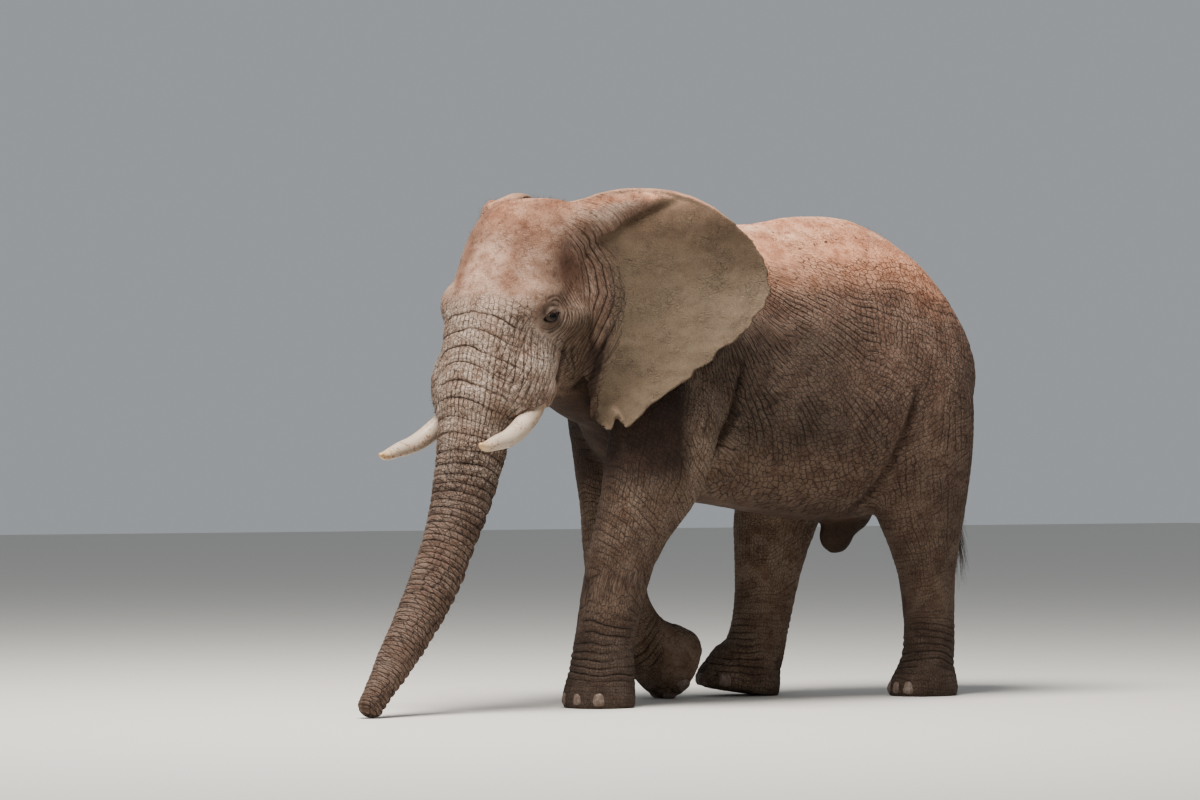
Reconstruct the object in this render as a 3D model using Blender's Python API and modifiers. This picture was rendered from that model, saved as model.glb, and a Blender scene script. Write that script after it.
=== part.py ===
"""African bush elephant, adult bull, walking with its trunk lowered to the ground.

A still, life-size model.  Metres, +Z up.  The elephant faces -Y and its left side is +X.
The flesh is modelled whole, from lofted forms fused into one skin, and is then parted with
thin cuts into head, neck, torso, trunk lengths and leg segments.  Ears, eyes, tusks, nails
and tail are pieces of their own.
"""

import math

import bmesh
import bpy
from mathutils import Matrix, Vector
from mathutils.bvhtree import BVHTree

# ---------------------------------------------------------------- driving dimensions
SHOULDER_HEIGHT = 3.0
UNIT = SHOULDER_HEIGHT / 3.0  # every length below is for a 3 m bull and scales with this

GAP = 0.0003  # clearance left between neighbouring solids
SHELL_LIMIT = 3.0  # most that a sharp corner's clearance is stretched
WELD = 0.00005  # points closer than this are one point
RING_POINTS = 28  # points round each lofted section
FUSE_VOXEL = 0.026  # size of the cells that fuse the forms
FUSE_SMOOTHING = 8  # smoothing passes over the fused skin
SKIN_TRIANGLES = 2700  # of the fused skin, before it is parted

ATLAS = Vector((0.02, -1.70, 0.0))  # where the skull meets the neck, in plan
HEAD_YAW = math.radians(19)  # the head is turned to its left

EYE_RADIUS = 0.054
EYE_HEIGHT = 2.295
EYE_FORWARD = 0.40
EYE_SHOWN = 0.36  # share of the radius that stands proud of the face

TUSK_RADIUS = 0.060
TUSK_ROOT = 0.10  # extra length of tusk hidden inside its sheath
TUSK_SIDES = 8

EAR_SPREAD = {1: math.radians(57), -1: math.radians(50)}  # from straight out to the back
EAR_LOBE_SPREAD = {1: math.radians(34), -1: math.radians(36)}  # the lobe stands further out
EAR_ROOT = 0.38  # distance of the ear's hinge from the middle of the head
EAR_THICK_ROOT = 0.040
EAR_THICK_MARGIN = 0.013
EAR_CUP = 0.06  # depth of the hollow in the ear's sheet
EAR_ROLL = 0.13  # how far the top edge is rolled back
EAR_ROLL_FROM = 2.80  # height at which the top begins to roll
EAR_ROLL_RISE = 0.24
EAR_RIPPLE = 0.022  # waves along the margin
EAR_RIPPLE_PITCH = 9.0  # radians of wave per metre of height
EAR_LOBE_FROM = 2.45  # height below which the lobe swings out
EAR_LOBE_RUN = 0.6
EAR_ROWS = 22
EAR_COLUMNS = 4

TUFT_GAP = 0.004  # the tuft starts just below the tail's end

NAIL_WIDTH = 0.047
NAIL_HEIGHT = 0.042
NAIL_DEPTH = 0.022
NAIL_SIGHT = 0.345  # how far out the nails' places are sighted from

# Where the nails of the standing feet are: x, y of the foot, height, angles from ahead
STANDING_NAILS = {
    "forefoot_left": (0.33, -1.505, 0.055, (-1.00, -0.36, 0.28, 0.92)),
    "hindfoot_left": (0.31, 0.93, 0.055, (-0.58, 0.0, 0.58)),
    "hindfoot_right": (-0.335, 0.04, 0.105, (-0.58, 0.0, 0.58)),
}
BENT_NAILS = [math.radians(a) for a in (35, 70, 110, 145)]
HAND_RIGHT_X = -0.33

HIDE = (0.33, 0.235, 0.18)
EAR_HIDE = (0.36, 0.28, 0.22)
IVORY = (0.80, 0.74, 0.62)
NAIL_HORN = (0.48, 0.42, 0.36)
IRIS = (0.07, 0.04, 0.025)
TAIL_HAIR = (0.03, 0.025, 0.022)


# ---------------------------------------------------------------- scene and materials
def clear_scene():
    for obj in list(bpy.data.objects):
        bpy.data.objects.remove(obj, do_unlink=True)


def new_collection(name):
    collection = bpy.data.collections.new(name)
    bpy.context.scene.collection.children.link(collection)
    return collection


def material(name, colour, roughness):
    made = bpy.data.materials.new(name)
    made.use_nodes = True
    shader = made.node_tree.nodes["Principled BSDF"]
    shader.inputs["Base Color"].default_value = (*colour, 1.0)
    shader.inputs["Roughness"].default_value = roughness
    shader.inputs["Metallic"].default_value = 0.0
    return made


def place(name, mesh, collection):
    obj = bpy.data.objects.new(name, mesh)
    collection.objects.link(obj)
    return obj


def evaluated_mesh(obj):
    bpy.context.view_layer.update()
    graph = bpy.context.evaluated_depsgraph_get()
    return bpy.data.meshes.new_from_object(obj.evaluated_get(graph))


# ---------------------------------------------------------------- sections and lofts
def superellipse(angle, power):
    """Point on a unit superellipse: power 2 is a circle, more is squarer."""
    c, s = math.cos(angle), math.sin(angle)
    return (
        math.copysign(abs(c) ** (2 / power), c),
        math.copysign(abs(s) ** (2 / power), s),
    )


def upright_ring(y, top, bottom, half, widest, x=0.0, crown=1.9, keel=2.25):
    """Section across the body, in the XZ plane, with its own roundness above and below."""
    points = []
    for i in range(RING_POINTS):
        angle = 2 * math.pi * i / RING_POINTS
        above = math.sin(angle) > 0
        across, up = superellipse(angle, crown if above else keel)
        height = (top - widest) if above else (widest - bottom)
        points.append(Vector((x + half * across, y, widest + height * up)))
    return points


def level_ring(z, x, y, side, front, back, power=2.1, lean=0.0):
    """Level section, as across a leg or the head; lean tips it forward, in radians."""
    points = []
    for i in range(RING_POINTS):
        angle = 2 * math.pi * i / RING_POINTS
        across, along = superellipse(angle, power)
        reach = along * (back if along > 0 else front)
        points.append(
            Vector((x + side * across, y + reach * math.cos(lean), z + reach * math.sin(lean)))
        )
    return points


def path_rings(rows, x=0.0, power=2.1, count=RING_POINTS):
    """Sections square to a path in the YZ plane: y, z, half width, half depth."""
    rings = []
    for i, (y, z, side, depth) in enumerate(rows):
        before = rows[max(0, i - 1)]
        after = rows[min(len(rows) - 1, i + 1)]
        ahead = Vector((0, after[0] - before[0], after[1] - before[1])).normalized()
        deep = ahead.cross(Vector((1, 0, 0)))
        points = []
        for k in range(count):
            a, b = superellipse(2 * math.pi * k / count, power)
            points.append(Vector((x + side * a, y, z)) + deep * depth * b)
        rings.append(points)
    return rings


def eased(keys, count):
    """Rows of numbers eased through key rows (Catmull-Rom), for a loft with few stations."""
    rows = []
    last = len(keys) - 1
    for n in range(count):
        t = n * last / (count - 1)
        i = min(int(t), last - 1)
        f = t - i
        a, b, c, d = (keys[max(0, min(last, i + k))] for k in (-1, 0, 1, 2))
        row = []
        for p, q, r, s in zip(a, b, c, d):
            bend = 2 * p - 5 * q + 4 * r - s
            twist = 3 * q - p - 3 * r + s
            row.append(0.5 * (2 * q + (r - p) * f + bend * f**2 + twist * f**3))
        rows.append(row)
    return rows


def loft(rings):
    """Closed mesh through a row of rings, capped at both ends."""
    bm = bmesh.new()
    rows = [[bm.verts.new(p * UNIT) for p in ring] for ring in rings]
    for row, after in zip(rows, rows[1:]):
        for i in range(len(row)):
            j = (i + 1) % len(row)
            bm.faces.new((row[i], row[j], after[j], after[i]))
    bm.faces.new(rows[0])
    bm.faces.new(rows[-1])
    bmesh.ops.triangulate(bm, faces=bm.faces)
    bmesh.ops.recalc_face_normals(bm, faces=bm.faces)
    mesh = bpy.data.meshes.new("form")
    bm.to_mesh(mesh)
    bm.free()
    return mesh


def ellipsoid(centre, radii, tip=0.0, segments=20, rings=12):
    """Ellipsoid, tipped about X by an angle in radians."""
    bm = bmesh.new()
    bmesh.ops.create_uvsphere(bm, u_segments=segments, v_segments=rings, radius=UNIT)
    sized = Matrix.Diagonal((*radii, 1.0))
    turned = Matrix.Rotation(tip, 4, "X")
    bm.transform(Matrix.Translation(Vector(centre) * UNIT) @ turned @ sized)
    mesh = bpy.data.meshes.new("form")
    bm.to_mesh(mesh)
    bm.free()
    return mesh


# ---------------------------------------------------------------- the flesh, as forms
# Torso: y, top, bottom, half width, height of the widest point
TORSO = [
    (-1.42, 2.45, 2.00, 0.14, 2.22),
    (-1.30, 2.72, 1.62, 0.33, 2.12),
    (-1.05, 2.90, 1.36, 0.45, 2.00),
    (-0.70, 2.94, 1.23, 0.54, 1.90),
    (-0.25, 2.89, 1.16, 0.61, 1.82),
    (0.20, 2.95, 1.10, 0.655, 1.80),
    (0.60, 2.95, 1.09, 0.65, 1.84),
    (0.95, 2.80, 1.20, 0.60, 1.95),
    (1.22, 2.54, 1.40, 0.50, 2.00),
    (1.39, 2.28, 1.64, 0.34, 2.00),
    (1.46, 2.08, 1.84, 0.12, 1.96),
]

# Neck: y, top, bottom, half width, height of the widest point, sideways shift
NECK = [
    (-1.02, 2.80, 1.66, 0.40, 2.15, 0.00),
    (-1.35, 2.86, 1.66, 0.38, 2.22, 0.00),
    (-1.62, 2.90, 1.78, 0.36, 2.32, 0.03),
    (-1.86, 2.86, 1.94, 0.30, 2.42, 0.06),
]

# Legs: z, x, y, half width, reach forward, reach back
FORELEG_LEFT = [
    (2.55, 0.30, -0.88, 0.16, 0.20, 0.22),
    (2.20, 0.37, -0.94, 0.22, 0.32, 0.30),
    (1.80, 0.40, -1.05, 0.235, 0.36, 0.36),
    (1.45, 0.40, -1.15, 0.225, 0.33, 0.40),
    (1.20, 0.385, -1.23, 0.205, 0.28, 0.36),
    (0.90, 0.365, -1.36, 0.19, 0.215, 0.225),
    (0.62, 0.35, -1.43, 0.185, 0.19, 0.19),
    (0.38, 0.34, -1.475, 0.18, 0.185, 0.18),
    (0.20, 0.335, -1.49, 0.195, 0.205, 0.195),
    (0.07, 0.33, -1.505, 0.215, 0.225, 0.215),
    (-0.02, 0.33, -1.505, 0.208, 0.218, 0.208),
]

FORELEG_RIGHT = [
    (2.55, -0.30, -0.86, 0.16, 0.20, 0.22),
    (2.20, -0.37, -0.88, 0.22, 0.32, 0.30),
    (1.80, -0.40, -0.88, 0.235, 0.30, 0.34),
    (1.45, -0.39, -0.87, 0.225, 0.26, 0.32),
    (1.20, -0.375, -0.87, 0.205, 0.23, 0.26),
    (0.90, -0.35, -0.90, 0.185, 0.195, 0.20),
    (0.66, -0.335, -0.89, 0.175, 0.18, 0.18),
]

# Forefoot bent back at the wrist: y, z, half width, half depth
HAND_RIGHT = [
    (-0.90, 0.78, 0.175, 0.175),
    (-0.88, 0.60, 0.178, 0.182),
    (-0.80, 0.45, 0.178, 0.182),
    (-0.67, 0.33, 0.182, 0.190),
    (-0.55, 0.255, 0.205, 0.225),
    (-0.45, 0.20, 0.215, 0.235),
    (-0.41, 0.18, 0.200, 0.220),
]

HINDLEG_LEFT = [
    (2.45, 0.30, 0.84, 0.20, 0.30, 0.28),
    (2.00, 0.38, 0.87, 0.24, 0.42, 0.39),
    (1.65, 0.40, 0.89, 0.24, 0.44, 0.39),
    (1.35, 0.385, 0.90, 0.225, 0.38, 0.36),
    (1.08, 0.36, 0.94, 0.20, 0.31, 0.29),
    (0.90, 0.34, 0.98, 0.175, 0.24, 0.23),
    (0.65, 0.32, 1.02, 0.155, 0.175, 0.170),
    (0.36, 0.31, 1.04, 0.152, 0.165, 0.165),
    (0.20, 0.31, 1.01, 0.165, 0.165, 0.18),
    (0.07, 0.31, 0.985, 0.195, 0.225, 0.235),
    (-0.02, 0.31, 0.985, 0.188, 0.218, 0.228),
]

HINDLEG_RIGHT = [
    (2.45, -0.30, 0.80, 0.20, 0.30, 0.28),
    (2.00, -0.38, 0.77, 0.24, 0.42, 0.38),
    (1.65, -0.40, 0.67, 0.24, 0.42, 0.38),
    (1.35, -0.39, 0.50, 0.22, 0.36, 0.35),
    (1.08, -0.365, 0.35, 0.20, 0.29, 0.32),
    (0.86, -0.345, 0.28, 0.18, 0.22, 0.27),
    (0.60, -0.335, 0.235, 0.165, 0.19, 0.215),
    (0.36, -0.335, 0.19, 0.165, 0.195, 0.20),
    (0.20, -0.335, 0.13, 0.18, 0.25, 0.22),
]

# Hind foot with its heel down and toes lifted
HEEL_RIGHT = [
    (0.30, -0.335, 0.15, 0.17, 0.23, 0.21),
    (0.18, -0.335, 0.09, 0.185, 0.29, 0.24),
    (0.08, -0.335, 0.06, 0.20, 0.33, 0.27),
    (0.02, -0.335, 0.06, 0.19, 0.31, 0.26),
]
TOES_LIFTED = math.radians(9)

# Skull and face, in the head's own directions: z, x, y, half width, forward, back
SKULL = [
    (3.005, 0.0, -0.06, 0.11, 0.10, 0.12),
    (2.98, 0.0, -0.08, 0.215, 0.19, 0.22),
    (2.90, 0.0, -0.11, 0.30, 0.27, 0.31),
    (2.76, 0.0, -0.14, 0.35, 0.35, 0.37),
    (2.60, 0.0, -0.16, 0.37, 0.42, 0.40),
    (2.42, 0.0, -0.20, 0.365, 0.47, 0.38),
    (2.28, 0.0, -0.24, 0.365, 0.49, 0.38),
    (2.12, 0.0, -0.30, 0.345, 0.48, 0.36),
    (1.96, 0.0, -0.40, 0.325, 0.43, 0.30),
    (1.82, 0.0, -0.50, 0.30, 0.37, 0.22),
    (1.72, 0.0, -0.56, 0.26, 0.31, 0.16),
]

# Trunk, from inside the face to the tip: y, z, half width, half depth
TRUNK = [
    (-0.50, 2.25, 0.24, 0.22),
    (-0.57, 2.00, 0.240, 0.225),
    (-0.64, 1.75, 0.228, 0.220),
    (-0.71, 1.50, 0.205, 0.200),
    (-0.80, 1.25, 0.178, 0.174),
    (-0.92, 1.00, 0.152, 0.150),
    (-1.062, 0.76, 0.146, 0.142),
    (-1.232, 0.54, 0.131, 0.126),
    (-1.422, 0.33, 0.110, 0.106),
    (-1.60, 0.14, 0.084, 0.080),
    (-1.70, 0.03, 0.080, 0.070),
]
TRUNK_STATIONS = 30

# Tusks beyond the lip, in the head's own directions: x, y, z, radius share
TUSK_LEFT = [
    (0.285, -0.43, 1.82, 0.94),
    (0.300, -0.52, 1.735, 1.0),
    (0.320, -0.66, 1.645, 0.98),
    (0.337, -0.80, 1.585, 0.90),
    (0.350, -0.94, 1.555, 0.74),
    (0.358, -1.05, 1.535, 0.50),
    (0.360, -1.105, 1.545, 0.22),
]
TUSK_RIGHT_DROP = 0.06  # the right tusk hangs a little lower at its tip

# Swellings: centre, radii, tip forward in radians.  The penile sheath hangs from the belly.
BELLY_SWELLINGS = [
    ((0.0, 0.665, 1.09), (0.088, 0.165, 0.095), 0.35),
    ((0.0, 0.548, 0.992), (0.064, 0.135, 0.12), 0.2),
]
# Lower jaw and lip, in the head's own directions
JAW_SWELLINGS = [
    ((0.0, -0.16, 1.96), (0.22, 0.34, 0.15), 0.42),
    ((0.0, -0.35, 1.75), (0.09, 0.13, 0.12), 0.6),
]
# Brow, cheekbone, cheek, tusk sheath, its lip and the root of the ear, on the left, in the head's own directions
FACE_SWELLINGS = [
    ((0.25, -0.44, 2.35), (0.115, 0.18, 0.17), -0.1),
    ((0.29, -0.18, 2.27), (0.115, 0.32, 0.13), 0.0),
    ((0.245, -0.12, 2.06), (0.11, 0.33, 0.17), 0.42),
    ((0.28, -0.525, 1.91), (0.10, 0.16, 0.24), -0.25),
    ((0.285, -0.43, 1.865), (0.095, 0.12, 0.115), 0.0),
    ((0.30, 0.03, 2.86), (0.14, 0.17, 0.15), 0.0),
    ((0.42, 0.10, 2.90), (0.085, 0.12, 0.13), 0.0),
    ((0.49, 0.19, 2.94), (0.06, 0.11, 0.10), 0.0),
]

# Ear: outer margin and inner edge, paired: distance out from the hinge, height
EAR_MARGIN = [
    (-0.10, 2.985),
    (0.08, 3.045),
    (0.27, 3.065),
    (0.50, 3.045),
    (0.69, 2.965),
    (0.87, 2.82),
    (0.98, 2.69),
    (1.045, 2.53),
    (1.03, 2.41),
    (0.98, 2.32),
    (0.91, 2.225),
    (0.80, 2.115),
    (0.67, 2.01),
    (0.55, 1.915),
    (0.37, 1.79),
    (0.215, 1.645),
    (0.15, 1.735),
    (0.115, 1.635),
    (0.05, 1.645),
]
EAR_INNER = [
    (-0.17, 2.90),
    (-0.15, 2.84),
    (-0.13, 2.78),
    (-0.11, 2.72),
    (-0.09, 2.66),
    (-0.08, 2.58),
    (-0.07, 2.50),
    (-0.06, 2.42),
    (-0.06, 2.34),
    (-0.06, 2.26),
    (-0.06, 2.18),
    (-0.06, 2.10),
    (-0.06, 2.03),
    (-0.06, 1.97),
    (-0.05, 1.92),
    (-0.04, 1.87),
    (-0.035, 1.83),
    (-0.03, 1.77),
    (-0.02, 1.70),
]

# Tail, hanging behind the rump: y, z, half width, half depth
TAIL = [
    (1.22, 2.46, 0.060, 0.055),
    (1.38, 2.37, 0.070, 0.058),
    (1.475, 2.20, 0.058, 0.046),
    (1.515, 1.92, 0.044, 0.036),
    (1.505, 1.60, 0.034, 0.028),
    (1.485, 1.30, 0.027, 0.022),
    (1.475, 1.05, 0.022, 0.018),
]
TAIL_TUFT = [
    (1.475, 1.05, 0.024, 0.020),
    (1.475, 0.95, 0.040, 0.024),
    (1.48, 0.82, 0.046, 0.024),
    (1.48, 0.70, 0.036, 0.018),
    (1.48, 0.60, 0.012, 0.008),
]


def head_matrix():
    return Matrix.Translation(ATLAS * UNIT) @ Matrix.Rotation(HEAD_YAW, 4, "Z")


def head_point(x, y, z):
    return head_matrix() @ (Vector((x, y, z)) * UNIT)


def level_loft(keys, count, power=2.1, lean=0.0):
    return loft([level_ring(*row, power=power, lean=lean) for row in eased(keys, count)])


def upright_loft(keys, count):
    return loft([upright_ring(*row) for row in eased(keys, count)])


def body_forms():
    """Torso, neck and legs, still overlapping."""
    forms = [
        upright_loft(TORSO, 24),
        upright_loft(NECK, 9),
        level_loft(FORELEG_LEFT, 20),
        level_loft(FORELEG_RIGHT, 14),
        level_loft(HINDLEG_LEFT, 20),
        level_loft(HINDLEG_RIGHT, 16),
        level_loft(HEEL_RIGHT, 7, lean=-TOES_LIFTED),
        loft(path_rings(eased(HAND_RIGHT, 13), x=HAND_RIGHT_X)),
    ]
    return forms + [ellipsoid(*swelling) for swelling in BELLY_SWELLINGS]


def head_forms():
    """Skull, trunk, brows, cheeks, tusk sheaths and lower jaw, turned with the head."""
    forms = [
        level_loft(SKULL, 24, power=2.3),
        loft(path_rings(eased(TRUNK, TRUNK_STATIONS), power=2.2)),
    ]
    forms += [ellipsoid(*swelling) for swelling in JAW_SWELLINGS]
    for (x, y, z), radii, tip in FACE_SWELLINGS:
        forms += [ellipsoid((side * x, y, z), radii, tip) for side in (1, -1)]
    for form in forms:
        form.transform(head_matrix())
    return forms


# ---------------------------------------------------------------- solid working
def hidden(obj):
    obj.hide_render = True
    obj.display_type = "WIRE"
    return obj


def tidy(mesh):
    """Weld coincident points and drop slivers, then keep the one largest closed body."""
    bm = bmesh.new()
    bm.from_mesh(mesh)
    bmesh.ops.remove_doubles(bm, verts=bm.verts, dist=WELD)
    bmesh.ops.dissolve_degenerate(bm, edges=bm.edges, dist=WELD)
    bmesh.ops.triangulate(bm, faces=bm.faces)
    islands = []
    seen = set()
    for start in bm.verts:
        if start in seen:
            continue
        island = {start}
        edge_of_search = [start]
        while edge_of_search:
            vert = edge_of_search.pop()
            for edge in vert.link_edges:
                other = edge.other_vert(vert)
                if other not in island:
                    island.add(other)
                    edge_of_search.append(other)
        seen |= island
        islands.append(island)
    islands.sort(key=len)
    loose = [vert for island in islands[:-1] for vert in island]
    bmesh.ops.delete(bm, geom=loose, context="VERTS")
    bmesh.ops.recalc_face_normals(bm, faces=bm.faces)
    bm.to_mesh(mesh)
    bm.free()
    return mesh


def carved(obj, cutter, operation):
    """The object's mesh after an exact Boolean with the cutter."""
    cut = obj.modifiers.new("Carve", "BOOLEAN")
    cut.object = cutter
    cut.operation = operation
    cut.solver = "EXACT"
    mesh = tidy(evaluated_mesh(obj))
    obj.modifiers.clear()
    return mesh


def grown(mesh, by=GAP):
    """Copy of a mesh swollen outwards along its normals, for cutting sockets."""
    bm = bmesh.new()
    bm.from_mesh(mesh)
    bm.normal_update()
    offsets = [v.normal * min(v.calc_shell_factor(), SHELL_LIMIT) * by for v in bm.verts]
    for vert, offset in zip(bm.verts, offsets):
        vert.co += offset
    swollen = bpy.data.meshes.new("socket")
    bm.to_mesh(swollen)
    bm.free()
    return swollen


def joined(meshes):
    bm = bmesh.new()
    for mesh in meshes:
        bm.from_mesh(mesh)
    whole = bpy.data.meshes.new("joined")
    bm.to_mesh(whole)
    bm.free()
    return whole


def box(size, matrix):
    bm = bmesh.new()
    bmesh.ops.create_cube(bm, size=1.0)
    bm.transform(matrix @ Matrix.Diagonal((*(s * UNIT for s in size), 1.0)))
    mesh = bpy.data.meshes.new("cell")
    bm.to_mesh(mesh)
    bm.free()
    return mesh


def fused(forms, helpers):
    """One smooth closed skin round all the forms."""
    obj = hidden(place("fused_flesh", joined(forms), helpers))
    fuse = obj.modifiers.new("Fuse", "REMESH")
    fuse.mode = "VOXEL"
    fuse.voxel_size = FUSE_VOXEL * UNIT
    soften = obj.modifiers.new("Soften", "SMOOTH")
    soften.factor = 0.5
    soften.iterations = FUSE_SMOOTHING
    obj.data = evaluated_mesh(obj)
    obj.modifiers.clear()
    quads = len(obj.data.polygons)
    thin = obj.modifiers.new("Thin", "DECIMATE")
    thin.ratio = SKIN_TRIANGLES / (2 * quads)
    obj.data = evaluated_mesh(obj)
    obj.modifiers.clear()
    return obj


def cut_soles(flesh, helpers):
    """Everything that touches the ground is cut level with it."""
    floor = box((8, 10, 1), Matrix.Translation((0, 0, -0.5 * UNIT)))
    cutter = hidden(place("floor_cut", floor, helpers))
    flesh.data = carved(flesh, cutter, "DIFFERENCE")


# ---------------------------------------------------------------- ears
def ear_offset(out, height, across):
    """How far the ear's sheet stands off its flat plane, towards the front."""
    hollow = -EAR_CUP * math.sin(math.pi * min(1.0, max(0.0, across)))
    top = min(1.0, max(0.0, (height - EAR_ROLL_FROM) / EAR_ROLL_RISE))
    rolled = -EAR_ROLL * top**2
    ripple = EAR_RIPPLE * math.sin(EAR_RIPPLE_PITCH * height) * across**2
    return hollow + rolled + ripple


def ear_directions(side, height):
    """Ways out from the hinge and ahead of the sheet; the lobe stands further out."""
    low = min(1.0, max(0.0, (EAR_LOBE_FROM - height) / EAR_LOBE_RUN))
    spread = EAR_SPREAD[side] + (EAR_LOBE_SPREAD[side] - EAR_SPREAD[side]) * low
    outward = Vector((side * math.cos(spread), math.sin(spread), 0.0))
    ahead = Vector((side * math.sin(spread), -math.cos(spread), 0.0))
    return outward, ahead


def ear_mesh(side):
    """Tapering sheet between the ear's inner edge and its outer margin."""
    hinge = head_point(side * EAR_ROOT, 0.0, 0.0)
    margin = eased(EAR_MARGIN, EAR_ROWS)
    inner = eased(EAR_INNER, EAR_ROWS)
    bm = bmesh.new()
    faces = {1: [], -1: []}
    for near, far in zip(inner, margin):
        rows = {1: [], -1: []}
        for column in range(EAR_COLUMNS):
            across = column / (EAR_COLUMNS - 1)
            out = near[0] + (far[0] - near[0]) * across
            height = near[1] + (far[1] - near[1]) * across
            outward, ahead = ear_directions(side, height)
            middle = hinge + (outward * out + Vector((0, 0, height))) * UNIT
            middle += ahead * ear_offset(out, height, across) * UNIT
            thick = EAR_THICK_ROOT + (EAR_THICK_MARGIN - EAR_THICK_ROOT) * across
            for face in (1, -1):
                rows[face].append(bm.verts.new(middle + ahead * face * thick / 2 * UNIT))
        for face in (1, -1):
            faces[face].append(rows[face])
    last_row = EAR_ROWS - 1
    last_column = EAR_COLUMNS - 1
    for i in range(last_row):
        for j in range(last_column):
            for face in (1, -1):
                grid = faces[face]
                bm.faces.new((grid[i][j], grid[i + 1][j], grid[i + 1][j + 1], grid[i][j + 1]))
        for j in (0, last_column):
            front, rear = faces[1], faces[-1]
            bm.faces.new((front[i][j], front[i + 1][j], rear[i + 1][j], rear[i][j]))
    for j in range(last_column):
        for i in (0, last_row):
            front, rear = faces[1], faces[-1]
            bm.faces.new((front[i][j], front[i][j + 1], rear[i][j + 1], rear[i][j]))
    bmesh.ops.triangulate(bm, faces=bm.faces)
    bmesh.ops.recalc_face_normals(bm, faces=bm.faces)
    mesh = bpy.data.meshes.new("ear")
    bm.to_mesh(mesh)
    bm.free()
    return mesh


# ---------------------------------------------------------------- eyes, tusks and nails
def surface_tree(obj):
    bm = bmesh.new()
    bm.from_mesh(obj.data)
    tree = BVHTree.FromBMesh(bm)
    bm.free()
    return tree


def eye_mesh(side, tree):
    """Eyeball set into the side of the face, found by sighting in from outside."""
    start = head_point(side * 1.0, -EYE_FORWARD, EYE_HEIGHT)
    inward = (head_point(0, -EYE_FORWARD, EYE_HEIGHT) - start).normalized()
    hit = tree.ray_cast(start, inward)[0]
    centre = hit + inward * EYE_RADIUS * (1 - EYE_SHOWN) * UNIT
    return ellipsoid(centre / UNIT, (EYE_RADIUS,) * 3, segments=9, rings=6)


def tusk_mesh(side):
    """Round tusk along a gentle upward curve."""
    rows = eased(TUSK_LEFT, 9)
    root, lip = Vector(rows[0][:3]), Vector(rows[1][:3])
    rows.insert(0, [*(root + (root - lip).normalized() * TUSK_ROOT), rows[0][3]])
    rings = []
    for i, (x, y, z, share) in enumerate(rows):
        before, after = rows[max(0, i - 1)], rows[min(len(rows) - 1, i + 1)]
        ahead = (Vector(after[:3]) - Vector(before[:3])).normalized()
        across = ahead.cross(Vector((0, 0, 1))).normalized()
        over = across.cross(ahead)
        drop = TUSK_RIGHT_DROP * i / len(rows) if side < 0 else 0.0
        ring = []
        for k in range(TUSK_SIDES):
            angle = 2 * math.pi * k / TUSK_SIDES
            reach = (across * math.cos(angle) + over * math.sin(angle)) * TUSK_RADIUS * share
            ring.append(Vector((side * (x + reach.x), y + reach.y, z - drop + reach.z)))
        rings.append(ring)
    mesh = loft(rings)
    mesh.transform(head_matrix())
    return mesh


def nail_plate(centre, outward, up):
    """Broad, shallow toenail let into the skin, facing outward."""
    outward = outward.normalized()
    across = outward.cross(up).normalized()
    rise = across.cross(outward)
    turn = Matrix((across, outward, rise)).transposed().to_4x4()
    mesh = ellipsoid((0, 0, 0), (NAIL_WIDTH, NAIL_DEPTH, NAIL_HEIGHT), segments=6, rings=4)
    inset = centre - outward * NAIL_DEPTH * 0.3 * UNIT
    mesh.transform(Matrix.Translation(inset) @ turn)
    return mesh


def standing_nails(foot, tree):
    """Nails round the front of a foot, each sighted in from just outside it."""
    x, y, level, angles = STANDING_NAILS[foot]
    meshes = []
    for angle in angles:
        direction = Vector((math.sin(angle), -math.cos(angle), 0.0))
        start = (Vector((x, y, level)) + direction * NAIL_SIGHT) * UNIT
        hit = tree.ray_cast(start, -direction)[0]
        meshes.append(nail_plate(hit, direction, Vector((0, 0, 1))))
    return meshes


def bent_hand_nails():
    """Nails of the bent forefoot, round the lower rim of its sole."""
    rows = eased(HAND_RIGHT, 13)
    y, z, side, depth = rows[-3]
    ahead = Vector((0, rows[-2][0] - y, rows[-2][1] - z)).normalized()
    deep = ahead.cross(Vector((1, 0, 0)))
    meshes = []
    for angle in BENT_NAILS:
        radial = Vector((1, 0, 0)) * side * math.cos(angle) + deep * depth * math.sin(angle)
        centre = (Vector((HAND_RIGHT_X, y, z)) + radial) * UNIT
        meshes.append(nail_plate(centre, radial, -ahead))
    return meshes


def tail_meshes():
    """Tail and its tuft; a little off the middle, as it hangs."""
    tail = loft(path_rings(eased(TAIL, 9), count=7))
    tuft = loft(path_rings(eased(TAIL_TUFT, 6), count=7))
    tuft.transform(Matrix.Translation((0, 0, -TUFT_GAP)))
    return tail, tuft


# ---------------------------------------------------------------- parting the flesh
def trunk_cell(station):
    """Box that takes in everything beyond one station of the trunk."""
    rows = eased(TRUNK, TRUNK_STATIONS)
    y, z = rows[station][:2]
    run = Vector((0, rows[station + 1][0] - y, rows[station + 1][1] - z)).normalized()
    pitch = math.atan2(-run.y, -run.z)
    turned = Matrix.Translation(Vector((0, y, z)) * UNIT) @ Matrix.Rotation(-pitch, 4, "X")
    return box((0.8, 0.9, 2.2), head_matrix() @ turned @ Matrix.Translation((0, 0, -1.1 * UNIT)))


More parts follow.
